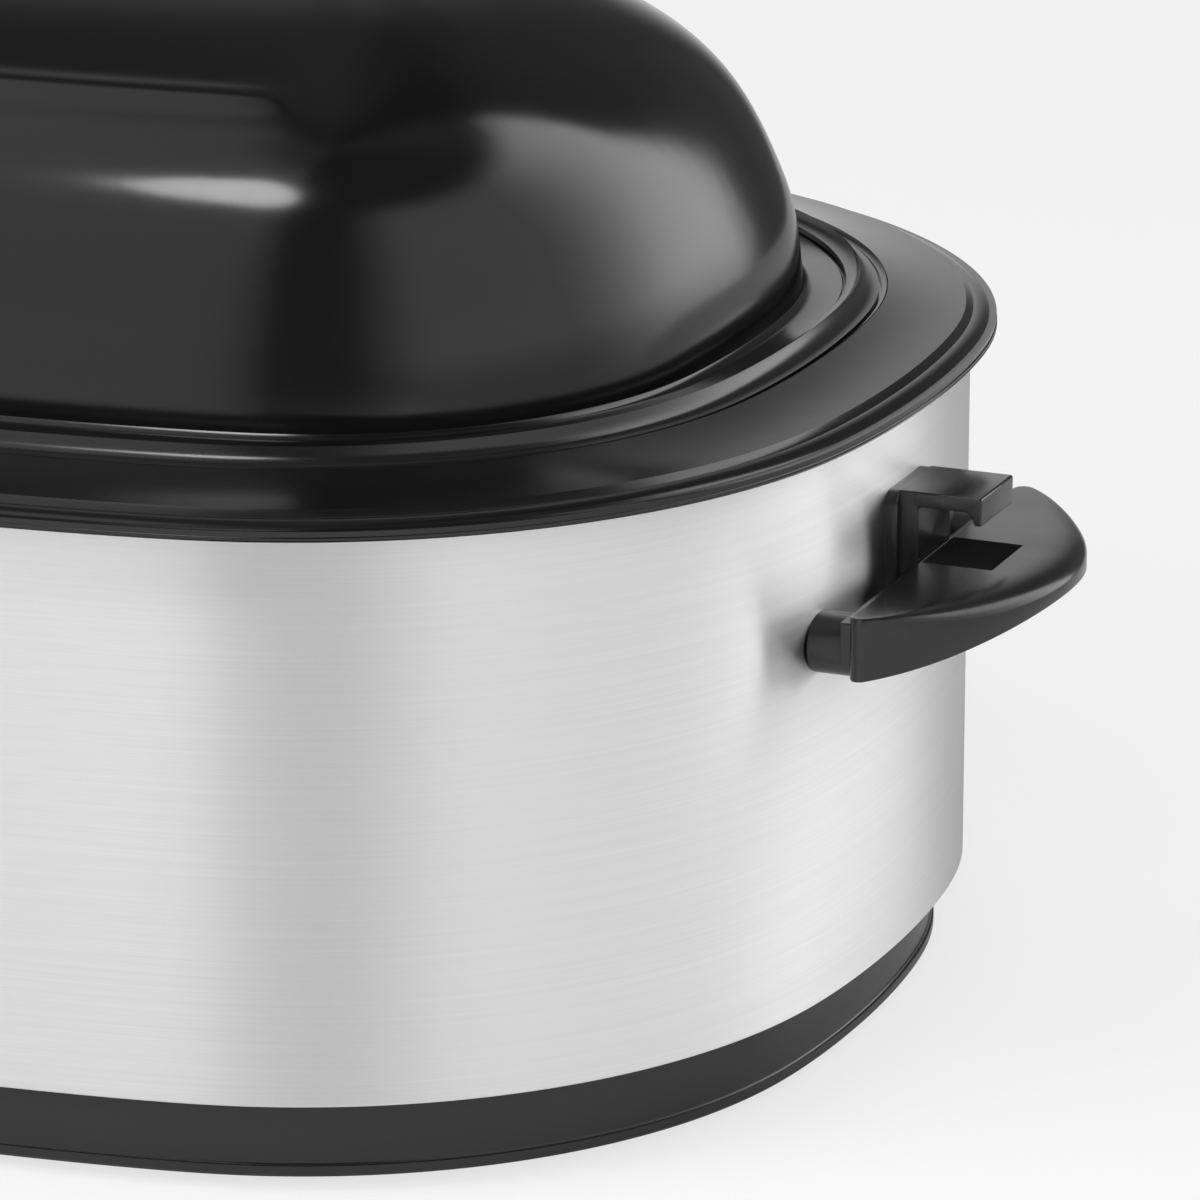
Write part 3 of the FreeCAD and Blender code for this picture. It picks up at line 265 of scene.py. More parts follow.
def curve_through(points, count):
    """A smooth line of points through a few, by their length."""
    known = np.array(points)
    gaps = np.hypot(*np.diff(known, axis=0).T)
    at = np.concatenate([[0], np.cumsum(gaps)])
    size = len(at)
    matrix = np.zeros((size, size))
    right = np.zeros((size, 2))
    matrix[0, 0] = matrix[-1, -1] = 1
    for index in range(1, size - 1):
        before, after = gaps[index - 1], gaps[index]
        matrix[index, index - 1:index + 2] = before, 2 * (before + after), after
        right[index] = 6 * ((known[index + 1] - known[index]) / after - (known[index] - known[index - 1]) / before)
    bend = np.linalg.solve(matrix, right)
    wanted = np.linspace(0, at[-1], count)
    result = []
    for value in wanted:
        index = min(int(np.searchsorted(at, value, side="right")) - 1, size - 2)
        gap = gaps[index]
        a = (at[index + 1] - value) / gap
        b = 1 - a
        point = a * known[index] + b * known[index + 1]
        point = point + ((a ** 3 - a) * bend[index] + (b ** 3 - b) * bend[index + 1]) * gap ** 2 / 6
        result.append((float(point[0]), float(point[1])))
    return result


# Meshes

def make_object(name, verts, faces, finish, body):
    """A smooth-shaded piece that rides on a body."""
    mesh = bpy.data.meshes.new(name)
    mesh.from_pydata([tuple(map(float, v)) for v in verts], [], faces)
    mesh.update()
    return dress(bpy.data.objects.new(name, mesh), finish, body)


def dress(piece, finish, body):
    """Put a piece in the scene with its finish and body."""
    if piece.name not in bpy.context.scene.collection.objects:
        bpy.context.scene.collection.objects.link(piece)
    clean_normals(piece.data)
    piece.data.materials.clear()
    piece.data.materials.append(finish)
    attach(piece, body)
    return piece


def clean_normals(mesh):
    """Faces turned outward and shaded smooth, apart from sharp edges."""
    work = bmesh.new()
    work.from_mesh(mesh)
    bmesh.ops.remove_doubles(work, verts=work.verts, dist=1e-6)
    bmesh.ops.recalc_face_normals(work, faces=work.faces)
    work.to_mesh(mesh)
    work.free()
    for face in mesh.polygons:
        face.use_smooth = True
    mesh.set_sharp_from_angle(angle=SHARP)


def loft(rings, closed=False):
    """Vertices and faces through rings of as many points; both ends are filled, or joined to each other."""
    count = len(rings[0])
    verts = np.concatenate(rings)
    faces = []
    pairs = list(zip(range(len(rings) - 1), range(1, len(rings))))
    if closed:
        pairs.append((len(rings) - 1, 0))
    for low, high in pairs:
        for index in range(count):
            after = (index + 1) % count
            faces.append((low * count + index, low * count + after, high * count + after, high * count + index))
    if not closed:
        faces.append(tuple(range(count))[::-1])
        last = (len(rings) - 1) * count
        faces.append(tuple(range(last, last + count)))
    return verts, faces


def fill_in(ring, height):
    """Smaller and smaller rings from a ring to its middle, which stands higher by the height."""
    rings = []
    for share in (0.85, 0.6, 0.35, 0.15, 0.04):
        inner = ring * share
        inner[:, 2] = ring[:, 2] + height * (1 - share ** 2)
        rings.append(inner)
    return rings


# Node materials

class Tree:
    """Helpers that add nodes to a material's or the world's tree."""

    def __init__(self, owner):
        owner.use_nodes = True
        self.nodes = owner.node_tree.nodes
        self.links = owner.node_tree.links

    def node(self, kind, **settings):
        """A new node with its settings."""
        made = self.nodes.new(kind)
        for key, value in settings.items():
            setattr(made, key, value)
        return made

    def span(self, value, from_low, from_high, low, high, kind="LINEAR"):
        """A value carried from one range to another."""
        ranged = self.node("ShaderNodeMapRange", interpolation_type=kind)
        self.links.new(value, ranged.inputs["Value"])
        for socket, number in zip(("From Min", "From Max", "To Min", "To Max"), (from_low, from_high, low, high)):
            ranged.inputs[socket].default_value = number
        return ranged.outputs["Result"]

    def combine(self, operation, first, second):
        """Two values worked into one."""
        made = self.node("ShaderNodeMath", operation=operation)
        for socket, value in zip(made.inputs, (first, second)):
            if isinstance(value, (int, float)):
                socket.default_value = value
            else:
                self.links.new(value, socket)
        return made.outputs[0]

    def emission(self, kind, strength):
        """A plain white emission or background."""
        made = self.node(kind)
        made.inputs["Color"].default_value = (1.0, 1.0, 1.0, 1.0)
        made.inputs["Strength"].default_value = strength
        return made.outputs[0]

    def mix(self, factor, first, second):
        """A shader between two."""
        made = self.node("ShaderNodeMixShader")
        for socket, value in zip(made.inputs, (factor, first, second)):
            self.links.new(value, socket)
        return made.outputs[0]


class Finish(Tree):
    """A procedural material, built up node by node on object coordinates."""

    def __init__(self, name, colour, roughness, metallic=0.0, **levels):
        self.material = bpy.data.materials.new(name)
        super().__init__(self.material)
        self.shader = self.nodes["Principled BSDF"]
        self.set("Base Color", (*colour, 1.0))
        self.set("Roughness", roughness)
        self.set("Metallic", metallic)
        for level, value in levels.items():
            self.set(level.replace("_", " "), value)
        self.height = None

    def set(self, socket, value):
        """Give one of the shader's sockets a constant."""
        self.shader.inputs[socket].default_value = value

    def place(self, stretch):
        """Object coordinates, stretched."""
        coordinates = self.node("ShaderNodeTexCoord")
        mapping = self.node("ShaderNodeMapping")
        mapping.inputs["Scale"].default_value = stretch
        self.links.new(coordinates.outputs["Object"], mapping.inputs["Vector"])
        return mapping.outputs["Vector"]

    def noise(self, scale, detail=3.0, stretch=(1, 1, 1), roughness=0.55):
        """Fractal noise, as a value between 0 and 1."""
        texture = self.node("ShaderNodeTexNoise")
        texture.inputs["Scale"].default_value = scale
        texture.inputs["Detail"].default_value = detail
        texture.inputs["Roughness"].default_value = roughness
        self.links.new(self.place(stretch), texture.inputs["Vector"])
        return texture.outputs["Fac"]

    def cells(self, scale, stretch=(1, 1, 1)):
        """Distance to the nearest of scattered points."""
        texture = self.node("ShaderNodeTexVoronoi")
        texture.inputs["Scale"].default_value = scale
        self.links.new(self.place(stretch), texture.inputs["Vector"])
        return texture.outputs["Distance"]

    def blend(self, factor, first, second):
        """A colour between two, by a factor."""
        mix = self.node("ShaderNodeMix", data_type="RGBA")
        self.links.new(factor, mix.inputs["Factor"])
        mix.inputs["A"].default_value = (*first, 1.0)
        mix.inputs["B"].default_value = (*second, 1.0)
        return mix.outputs["Result"]

    def drive(self, socket, value):
        """Let a value or colour reach one of the shader's sockets."""
        self.links.new(value, self.shader.inputs[socket])

    def emboss(self, value, depth, strength=1.0):
        """Add relief of a depth in metres."""
        bump = self.node("ShaderNodeBump")
        bump.inputs["Strength"].default_value = strength
        bump.inputs["Distance"].default_value = depth
        self.links.new(value, bump.inputs["Height"])
        if self.height is not None:
            self.links.new(self.height, bump.inputs["Normal"])
        self.height = bump.outputs["Normal"]
        self.links.new(self.height, self.shader.inputs["Normal"])


def enamel(name, colour, roughness, grain, speckle=0.0):
    """Black vitreous enamel: a slow ripple, fine grain and pinholes, and faint handling marks."""
    finish = Finish(name, colour, roughness, Specular_IOR_Level=0.5)
    ripple = finish.noise(55.0, 2.0)
    fine = finish.noise(1500.0, 2.0)
    finish.emboss(ripple, 0.00012, 0.35)
    finish.emboss(fine, 0.00001, grain)
    marks = finish.span(finish.noise(26.0, 6.0, roughness=0.65), 0.35, 0.7, roughness * 0.92, roughness * 1.14)
    finish.drive("Roughness", marks)
    shade = finish.span(finish.cells(900.0), 0.02, 0.09, 1.0, 0.0)
    pale = tuple(min(1.0, channel + speckle) for channel in colour)
    finish.drive("Base Color", finish.blend(shade, colour, pale))
    return finish.material


def brushed_wrap():
    """Stainless steel, brushed along the wall: long fine streaks in colour, gloss and relief."""
    finish = Finish("steel_wrap", (0.83, 0.83, 0.835), 0.36, 1.0)
    streaks = finish.noise(1.0, 4.0, (14.0, 14.0, 5200.0), 0.6)
    broad = finish.noise(1.0, 3.0, (6.0, 6.0, 900.0), 0.6)
    both = finish.combine("ADD", finish.combine("MULTIPLY", streaks, 0.7), finish.combine("MULTIPLY", broad, 0.3))
    tone = finish.span(both, 0.36, 0.64, 0.0, 1.0)
    finish.drive("Base Color", finish.blend(tone, (0.795, 0.795, 0.80), (0.855, 0.855, 0.86)))
    finish.drive("Roughness", finish.span(both, 0.35, 0.65, 0.33, 0.39))
    finish.set("Anisotropic", 0.95)
    finish.set("Anisotropic Rotation", 0.25)
    tangent = finish.node("ShaderNodeTangent", direction_type="RADIAL", axis="Z")
    finish.drive("Tangent", tangent.outputs["Tangent"])
    finish.emboss(streaks, 0.00001, 0.3)
    return finish.material


def moulded(name, colour, roughness, texture=0.3):
    """Moulded phenolic plastic: gloss with a faint ripple, dust-fine grain and rubbed patches."""
    finish = Finish(name, colour, roughness, Specular_IOR_Level=0.5)
    finish.emboss(finish.noise(90.0, 3.0), 0.00015, 0.3)
    finish.emboss(finish.noise(2600.0, 2.0), 0.000012, texture)
    finish.drive("Roughness", finish.span(finish.noise(38.0, 6.0), 0.3, 0.7, roughness * 0.8, roughness * 1.25))
    finish.drive("Base Color", finish.blend(finish.noise(300.0, 3.0), colour, tuple(c * 1.6 for c in colour)))
    return finish.material


def plated(name, colour, roughness, marks=0.5):
    """Plated or drawn metal with small dents and cloudy gloss."""
    finish = Finish(name, colour, roughness, 1.0)
    finish.emboss(finish.noise(700.0, 4.0), 0.00004, marks)
    finish.drive("Roughness", finish.span(finish.noise(160.0, 5.0), 0.3, 0.7, roughness * 0.7, roughness * 1.4))
    dark = tuple(c * 0.82 for c in colour)
    finish.drive("Base Color", finish.blend(finish.noise(220.0, 4.0), dark, colour))
    return finish.material


def grained(name, colour, other, roughness, scale, depth):
    """Rubber, ceramic or fibre: an uneven tone over a grain in relief."""
    finish = Finish(name, colour, roughness)
    grain = finish.noise(scale, 5.0, roughness=0.7)
    finish.emboss(grain, depth, 0.8)
    finish.drive("Base Color", finish.blend(finish.span(grain, 0.35, 0.65, 0.0, 1.0), colour, other))
    finish.drive("Roughness", finish.span(grain, 0.3, 0.7, roughness * 0.85, min(1.0, roughness * 1.1)))
    return finish.material


def see_through(name, colour, roughness, share):
    """Clear plastic or glass with a fine moulded texture."""
    finish = Finish(name, colour, roughness, Transmission_Weight=share, IOR=1.49)
    finish.emboss(finish.cells(420.0), 0.00008, 0.25)
    finish.drive("Roughness", finish.span(finish.noise(300.0, 3.0), 0.3, 0.7, roughness * 0.7, roughness * 1.5))
    return finish.material


FINISHES = {
    "rubber": grained("rubber", (0.022, 0.022, 0.022), (0.04, 0.04, 0.04), 0.75, 900.0, 0.00006),
    "black_base": enamel("black_base", (0.008, 0.008, 0.0085), 0.16, 0.15),
    "zinc": plated("zinc", (0.66, 0.66, 0.64), 0.36),
    "steel_wrap": brushed_wrap(),
    "black_rim": enamel("black_rim", (0.006, 0.006, 0.0063), 0.15, 0.5, 0.02),
    "heater": grained("heater", (0.42, 0.37, 0.30), (0.55, 0.5, 0.42), 0.55, 260.0, 0.00008),
    "glass_fibre": grained("glass_fibre", (0.78, 0.74, 0.60), (0.62, 0.57, 0.42), 0.95, 380.0, 0.0011),
    "ceramic": grained("ceramic", (0.82, 0.79, 0.72), (0.72, 0.69, 0.62), 0.6, 500.0, 0.00004),
    "lead_sheath": grained("lead_sheath", (0.72, 0.71, 0.66), (0.5, 0.49, 0.45), 0.85, 1800.0, 0.0002),
    "copper": plated("copper", (0.74, 0.42, 0.28), 0.3),
    "dial_plate": moulded("dial_plate", (0.014, 0.014, 0.015), 0.36, 0.5),
    "lens": see_through("lens", (0.9, 0.32, 0.03), 0.12, 0.8),
    "lamp_glass": see_through("lamp_glass", (0.95, 0.9, 0.85), 0.08, 0.9),
    "handle_black": moulded("handle_black", (0.010, 0.010, 0.0105), 0.20),
    "knob_black": moulded("knob_black", (0.011, 0.011, 0.0115), 0.22),
    "brass": plated("brass", (0.76, 0.6, 0.3), 0.28),
    "pan_enamel": enamel("pan_enamel", (0.009, 0.009, 0.0095), 0.18, 0.4, 0.06),
    "rack_chrome": plated("rack_chrome", (0.82, 0.82, 0.82), 0.12, 0.2),
    "lid_enamel": enamel("lid_enamel", (0.005, 0.005, 0.0053), 0.14, 0.2),
}
INK = grained("dial_ink", (0.80, 0.80, 0.78), (0.70, 0.70, 0.68), 0.5, 1200.0, 0.00002)


# Body

def make_wall():
    """Brushed wrap with a rounded foot, from which a flange runs in under the body."""
    low = WALL_LOW.z
    top = WALL_HIGH.z
    flange = 0.024
    line = section((0.0006, low), (-0.00018, 0.0, low + 0.0006), (0.0, low + 0.004), (0.0, top - 0.004), (0.0, top),
                   (WALL, top), (WALL, low + WALL), (flange, low + WALL), (flange, low))
    verts, faces = loft([BODY.ring(inset, height) for inset, height in line], closed=True)
    wall = make_object("steel_wall", verts, faces, FINISHES["steel_wrap"], "base")
    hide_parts("outer_wall")


def make_base():
    """Black base band with a rolled lower lip and a recessed floor."""
    low, high = BASE_LOW.z, BASE_HIGH.z
    inset = BASE_INSET
    border = inset + 0.034
    floor = low + 0.0025
    line = section((border, floor), (inset + 0.0025, floor), (inset + 0.0025, low + 0.0004),
                   (inset + 0.0021, low), (inset + 0.0008, low), (-0.0002, inset, low + 0.0008),
                   (inset, low + 0.0030), (-0.0003, inset + 0.0007, low + 0.0040),
                   (inset + 0.0006, high), (inset + 0.0031, high),
                   (inset + 0.0031, floor + 0.0020), (border, floor + 0.0020))
    verts, faces = loft([BODY.ring(i, z) for i, z in line])
    base = make_object("base_shell", verts, faces, FINISHES["black_base"], "base")
    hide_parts("base_pan")


def rim_line():
    """Section of the well's sheet, from the edge of its floor, under the rim and over it, and back down."""
    out = -RIM_OVERHANG
    low = WALL_HIGH.z - 0.004
    top = RIM_TOP
    sheet = RIM_SHEET
    seat = SEAT_TOP
    inner = WELL_INSET + SHEET
    floor = RIM_LOW.z + SHEET
    corner = WELL_CORNER
    return section(
        (inner + corner, floor - SHEET),
        (-(corner + SHEET) * QUARTER_BULGE, WELL_INSET, floor + corner),
        (WELL_INSET, seat - 0.003),
        (0.0006, WELL_INSET - 0.002, seat - SHEET),
        (SEAT_INSET - 0.001, seat - SHEET),
        (SEAT_INSET - 0.0012, top - sheet),
        (-0.0004, 0.002, top - 0.0043 - sheet),
        (-0.0012, out + sheet, low + 0.0022),
        (out + sheet, low + 0.0004),
        (-0.00032, out, low + 0.0004),
        (-0.00016, out, low + 0.0012),
        (0.0001, out + 0.00025, low + 0.0016),
        (out + 0.00015, low + 0.0030),
        (-0.0009, 0.0013, top - 0.0036),
        (-0.00045, SEAT_INSET - 0.0016, top),
        (-0.0003, SEAT_INSET, top - 0.0011),
        (SEAT_INSET, seat),
        (inner - 0.003, seat),
        (-0.0008, inner, seat - 0.003),
        (inner, floor + corner),
        (corner * QUARTER_BULGE, inner + corner, floor),
    )


def make_rim():
    """Heat well with its wide black rim, in one enamelled sheet."""
    verts, faces = loft([BODY.ring(inset, height) for inset, height in rim_line()])
    rim = make_object("well_and_rim", verts, faces, FINISHES["black_rim"], "base")
    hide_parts("heat_well")


def pan_line():
    """Section of the pan's sheet, from the edge of its floor outside, over the bead and down inside."""
    corner = PAN_CORNER
    inner = PAN_WALL_INSET + SHEET
    foot = inner + PAN_TAPER
    foot_out = PAN_WALL_INSET + PAN_TAPER
    floor = PAN_LOW.z + SHEET
    ledge = LEDGE_TOP
    seat = SEAT_TOP + 0.00005
    top = BEAD_TOP
    return section(
        (foot + corner, floor - SHEET),
        (-(corner + SHEET) * QUARTER_BULGE, foot_out, floor + corner),
        (PAN_WALL_INSET, ledge - 0.0035),
        (0.0006, PAN_WALL_INSET - 0.0025, seat),
        (BEAD_OUTSIDE + 0.0004, seat),
        (-0.0001, BEAD_OUTSIDE, seat + 0.0004),
        (BEAD_OUTSIDE, seat + 0.0016),
        (-0.0012, BEAD_OUTSIDE + 0.0050, top),
        (-0.0008, BEAD_INSIDE - 0.0003, top - 0.0026),
        (BEAD_INSIDE, ledge + 0.0002),
        (0.0001, BEAD_INSIDE + 0.0004, ledge),
        (inner - 0.0035, ledge),
        (-0.0009, inner, ledge - 0.0035),
        (foot, floor + corner),
        (corner * QUARTER_BULGE, foot + corner, floor),
    )


def make_pan():
    """Lift-out cookwell."""
    verts, faces = loft([BODY.ring(inset, height) for inset, height in pan_line()])
    pan = make_object("pan_shell", verts, faces, FINISHES["pan_enamel"], "pan")
    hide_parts("cookwell")


# Lid

DOME_SHAPE = [(0.0, 0.0), (0.0012, 0.12), (0.0030, 0.22), (0.0066, 0.32), (0.0112, 0.42), (0.0172, 0.52),
              (0.0256, 0.615), (0.0376, 0.705), (0.053, 0.79), (0.071, 0.872), (0.092, 0.9445)]
LID_HEIGHT = 0.101
FLANGE_TOP = LEDGE_TOP + SHEET
CREASE_DRAW = 0.0445
CREASE_RISE = 0.0010
CREASE_WIDTH = 0.0034
CREASE_FROM = 0.955
CREASE_FADE = 0.035
LID_ROWS = 90


def crease(draw):
    """How far the pressed line between the lid's long sides and its top stands out, round the outline."""
    along = np.abs(np.sin(FACING))
    fade = np.clip((along - CREASE_FROM) / CREASE_FADE, 0, 1)
    fade = fade * fade * (3 - 2 * fade)
    return CREASE_RISE * fade * math.exp(-((draw - CREASE_DRAW) / CREASE_WIDTH) ** 2)


def make_lid():
    """Domed lid: flange, fillet, flanks with a pressed line and a nearly flat crown."""
    shape = [(draw, FLANGE_TOP + share * LID_HEIGHT) for draw, share in DOME_SHAPE]
    line = curve_through(shape, LID_ROWS)
    flange_in = BEAD_INSIDE + 0.0006
    outer = []
    for draw, height in line:
        ring = DOME.ring(draw, height)
        ring[:, 2] += crease(draw)
        outer.append(ring)
    inner = []
    for draw, height in line[::3]:
        share = (height - FLANGE_TOP) / LID_HEIGHT
        inner.append(DOME.ring(draw + SHEET * (1 - share), height - SHEET * share))
    foot = DOME.ring(-0.0024, FLANGE_TOP)
    bend = DOME.ring(-0.0007, FLANGE_TOP + 0.0006)
    edge = [BODY.ring(flange_in, LEDGE_TOP + 0.00005), BODY.ring(flange_in, FLANGE_TOP - 0.0002),
            BODY.ring(flange_in + 0.0002, FLANGE_TOP)]
    under = DOME.ring(SHEET, LEDGE_TOP + 0.00005)
    rings = fill_in(inner[-1], 0.0002)[::-1] + inner[::-1] + [under] + edge + [foot, bend] + outer[1:]
    rings += fill_in(outer[-1], 0.0)
    verts, faces = loft(rings)
    lid = make_object("lid_dome", verts, faces, FINISHES["lid_enamel"], "lid")
    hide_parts("lid_shell")


# Solids of plates and turned shapes

def plate_solid(points, low, high, radius, axis):
    """A plate of one outline across X, Y or Z, with rounded edges."""
    flat = np.array(points)
    after = np.roll(flat, -1, axis=0) - flat
    before = flat - np.roll(flat, 1, axis=0)
    after /= np.hypot(*after.T)[:, None]
    before /= np.hypot(*before.T)[:, None]
    out = np.column_stack([after[:, 1] + before[:, 1], -after[:, 0] - before[:, 0]])
    out /= (1 + np.sum(after * before, axis=1))[:, None]
    area = np.sum(flat[:, 0] * np.roll(flat[:, 1], -1) - np.roll(flat[:, 0], -1) * flat[:, 1])
    out *= math.copysign(1, area)
    rings = []
    turns = [math.radians(18 * index) for index in range(6)]
    levels = [(radius * (1 - math.sin(turn)), low + radius * (1 - math.cos(turn))) for turn in turns]
    levels += [(radius * (1 - math.cos(turn)), high - radius * (1 - math.sin(turn))) for turn in turns]
    for inset, level in levels:
        ring = flat - out * inset
        column = np.full(len(ring), level)
        parts = {"X": (column, ring[:, 0], ring[:, 1]), "Y": (ring[:, 0], column, ring[:, 1]),
                 "Z": (ring[:, 0], ring[:, 1], column)}[axis]
        rings.append(np.column_stack(parts))
    return loft(rings)


def rounded(corners, default, count=6):
    """A closed outline of corners, each x, y and optionally its own radius, with the corners rounded."""
    points = []
    size = len(corners)
    for index, corner in enumerate(corners):
        here = Vector(corner[:2])
        radius = corner[2] if len(corner) == 3 else default
        to_last = (Vector(corners[index - 1][:2]) - here).normalized()
        to_next = (Vector(corners[(index + 1) % size][:2]) - here).normalized()
        half = to_last.angle(to_next) / 2
        if radius <= 0:
            points.append(tuple(here))
            continue
        reach = radius / math.tan(half)
        start = here + to_last * reach
        end = here + to_next * reach
        middle = here + (to_last + to_next).normalized() * (radius / math.sin(half))
        for step in range(count + 1):
            mix = start.lerp(end, step / count) - middle
            points.append(tuple(middle + mix.normalized() * radius))
    return points


def turned_ring(radius, y, centre, angles):
    """A ring about an axis along Y at a centre in X and Z; its radius may be one for each angle."""
    return np.column_stack([centre[0] + radius * np.cos(angles), np.full(len(angles), y),
                            centre[1] + radius * np.sin(angles)])


def full_turn(count):
    """Angles of as many points spread round a circle."""
    return np.arange(count) * 2 * math.pi / count


def box_solid(x, y, z, radius):
    """A box with rounded edges."""
    corners = [(x[0], z[0]), (x[1], z[0]), (x[1], z[1]), (x[0], z[1])]
    return plate_solid(rounded(corners, radius, 4), y[0], y[1], radius, "Y")


def mesh_of(solid):
    """A loose object of vertices and faces, for joining and cutting."""
    mesh = bpy.data.meshes.new("work")
    mesh.from_pydata([tuple(map(float, v)) for v in solid[0]], [], solid[1])
    mesh.update()
    clean_normals(mesh)
    made = bpy.data.objects.new("work", mesh)
    bpy.context.scene.collection.objects.link(made)
    return made


def worked(name, first, steps):
    """One mesh: the first solid with others joined to it or cut from it, in order."""
    target = mesh_of(first)
    for operation, solid in steps:
        tool = mesh_of(solid)
        modifier = target.modifiers.new("work", "BOOLEAN")
        modifier.operation = operation
        modifier.solver = "EXACT"
        modifier.object = tool
        bpy.context.view_layer.update()
        evaluated = target.evaluated_get(bpy.context.evaluated_depsgraph_get())
        result = bpy.data.meshes.new_from_object(evaluated)
        target.modifiers.clear()
        target.data = result
        bpy.data.objects.remove(tool)
    target.name = name
    target.data.name = name
    return target


# End handles

def handle_plate():
    """The D of the end handle: a plate with a lip turned down, whose edge is rounder towards the tip."""
    depth = HANDLE_TIP - HANDLE_CHORD
    radius = (HANDLE_HALF ** 2 + depth ** 2) / (2 * depth)
    centre = HANDLE_TIP - radius
    corner = HANDLE_CORNER
    inner = radius - corner
    reach = math.acos((HANDLE_CHORD + corner - centre) / inner)
    flat = []
    facing = []
    steps = 48
    for index in range(2 * steps + 1):
        angle = reach * (index / steps - 1)
        facing.append((math.cos(angle), math.sin(angle)))
        flat.append((centre + radius * math.cos(angle), radius * math.sin(angle)))
    corner_y = inner * math.sin(reach)
    for side in (1, -1):
        for index in range(1, 9):
            share = (index if side > 0 else 9 - index) / 8
            angle = side * (reach + (math.pi - reach) * share)
            facing.append((math.cos(angle), math.sin(angle)))
            flat.append((HANDLE_CHORD + corner + corner * math.cos(angle),
                         side * corner_y + corner * math.sin(angle)))
        if side > 0:
            for index in range(1, 24):
                facing.append((-1.0, 0.0))
                flat.append((HANDLE_CHORD, corner_y * (1 - index / 12)))
    flat = np.array(flat)
    facing = np.array(facing)
    crisp = 0.14
    outward = np.clip((facing[:, 0] - 0.58) / 0.34, 0, 1)
    outward = (crisp + (1 - crisp) * outward * outward * (3 - 2 * outward))[:, None]
    low = lip_low(flat[:, 0])
    rings = []
    inset_heights = [(0.0110, 0.0), (0.0085, 0.00008), (0.0060, 0.00035), (0.0042, 0.00075), (0.0027, 0.00130),
                     (0.0015, 0.0020), (0.0007, 0.0027), (0.0002, 0.0034), (0.0, 0.0042)]
    for inset, drop in inset_heights:
        ring = flat - facing * outward * inset
        height = HANDLE_TOP - drop * outward[:, 0]
        rings.append(np.column_stack([ring, height]))
    rings.append(np.column_stack([flat, low + 0.0006]))
    rings.append(np.column_stack([flat - facing * 0.00018, low + 0.00018]))
    rings.append(np.column_stack([flat - facing * 0.0006, low]))
    rings.append(np.column_stack([flat - facing * (PLATE - 0.0006), low]))
    rings.append(np.column_stack([flat - facing * PLATE, low + 0.0006]))
    rings.append(np.column_stack([flat - facing * PLATE, np.full(len(flat), HANDLE_TOP - PLATE)]))
    return loft(rings)


def lip_low(x):
    """Height of the lip's lower edge, which rises towards the handle's tip."""
    share = np.clip((x - HANDLE_CHORD) / (HANDLE_TIP - HANDLE_CHORD), 0, 1)
    return LIP_LOW + (LIP_TIP_LOW - LIP_LOW) * share * (0.3 + 0.7 * share)


def hook_outline():
    """Side view of the limb and arm that carry the lid: X and Z."""
    back = HALF_LENGTH + 0.0022
    tip = HALF_LENGTH + HOOK_REACH
    arm = HOOK_TOP - HOOK_ARM
    corners = [(back, LIP_LOW, 0.0005), (HANDLE_CHORD, LIP_LOW, 0.0005), (HANDLE_CHORD, arm, 0.0008),
               (tip - 0.0034, arm, 0.0022), (tip - 0.0019, arm - HOOK_LIP, 0.0003),
               (tip - 0.0001, arm - HOOK_LIP, 0.0003), (tip, HOOK_TOP, 0.0007), (back, HOOK_TOP, 0.0008)]
    return rounded(corners, 0.0005)


def make_handle(name, mirrored, node):
    """One end handle with its walled slot, hook, wall pad, webs and bosses."""
    slot_x = (HANDLE_CHORD + SLOT_START, HANDLE_CHORD + SLOT_END)
    slot = box_solid(slot_x, (-HOOK_HALF, HOOK_HALF), (LIP_LOW - 0.002, HANDLE_TOP + 0.002), 0.0003)
    collar_half = HOOK_HALF + SLOT_WALL
    collar = box_solid((slot_x[0], slot_x[1] + SLOT_WALL), (-collar_half, collar_half),
                       (LIP_LOW + 0.0015, HANDLE_TOP - 0.0006), 0.0003)
    hook = plate_solid(hook_outline(), -HOOK_HALF, HOOK_HALF, 0.00045, "Y")
    pad_half = HOOK_HALF + PAD_BORDER
    pad_low, pad_top = LIP_LOW - 0.001, HOOK_TOP - 0.0002
    corners = [(-pad_half, pad_low, 0.002), (pad_half, pad_low, 0.002),
               (pad_half, pad_top, 0.0035), (-pad_half, pad_top, 0.0035)]
    pad = plate_solid(rounded(corners, 0.002), HALF_LENGTH - 0.0005, HALF_LENGTH + PAD_DEPTH, 0.0005, "X")
    web = box_solid((HANDLE_CHORD - 0.003, HANDLE_CHORD + 0.0012), (-WEB_END, -HOOK_HALF + 0.0005),
                    (LIP_LOW + PLATE, HANDLE_TOP - PLATE + 0.0005), 0.0004)
    far_web = (web[0] * np.array([1, -1, 1]), web[1])
    steps = [("UNION", collar), ("DIFFERENCE", slot), ("UNION", hook), ("UNION", pad),
             ("UNION", web), ("UNION", far_web)]
    for y in (-BOSS_OUT, BOSS_OUT):
        steps.append(("UNION", turned_boss(y, HALF_LENGTH - 0.0045, HANDLE_CHORD + 0.0005)))
    piece = worked(name, handle_plate(), steps)
    if mirrored:
        for vertex in piece.data.vertices:
            vertex.co.x *= -1
            vertex.co.y *= -1
    dress(piece, FINISHES["handle_black"], "base")
    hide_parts(node)


def turned_boss(y, start, end):
    """A round boss along X between the wall and the handle."""
    radius = BOSS_RADIUS
    height = HANDLE_TOP - PLATE - radius - 0.0002
    angles = full_turn(BOSS_POINTS)
    rings = []
    for size, x in ((radius, start), (radius, end - 0.0006), (radius - 0.0006, end)):
        rings.append(np.column_stack([np.full(BOSS_POINTS, x), y + size * np.cos(angles),
                                      height + size * np.sin(angles)]))
    return loft(rings)


# Lid handle

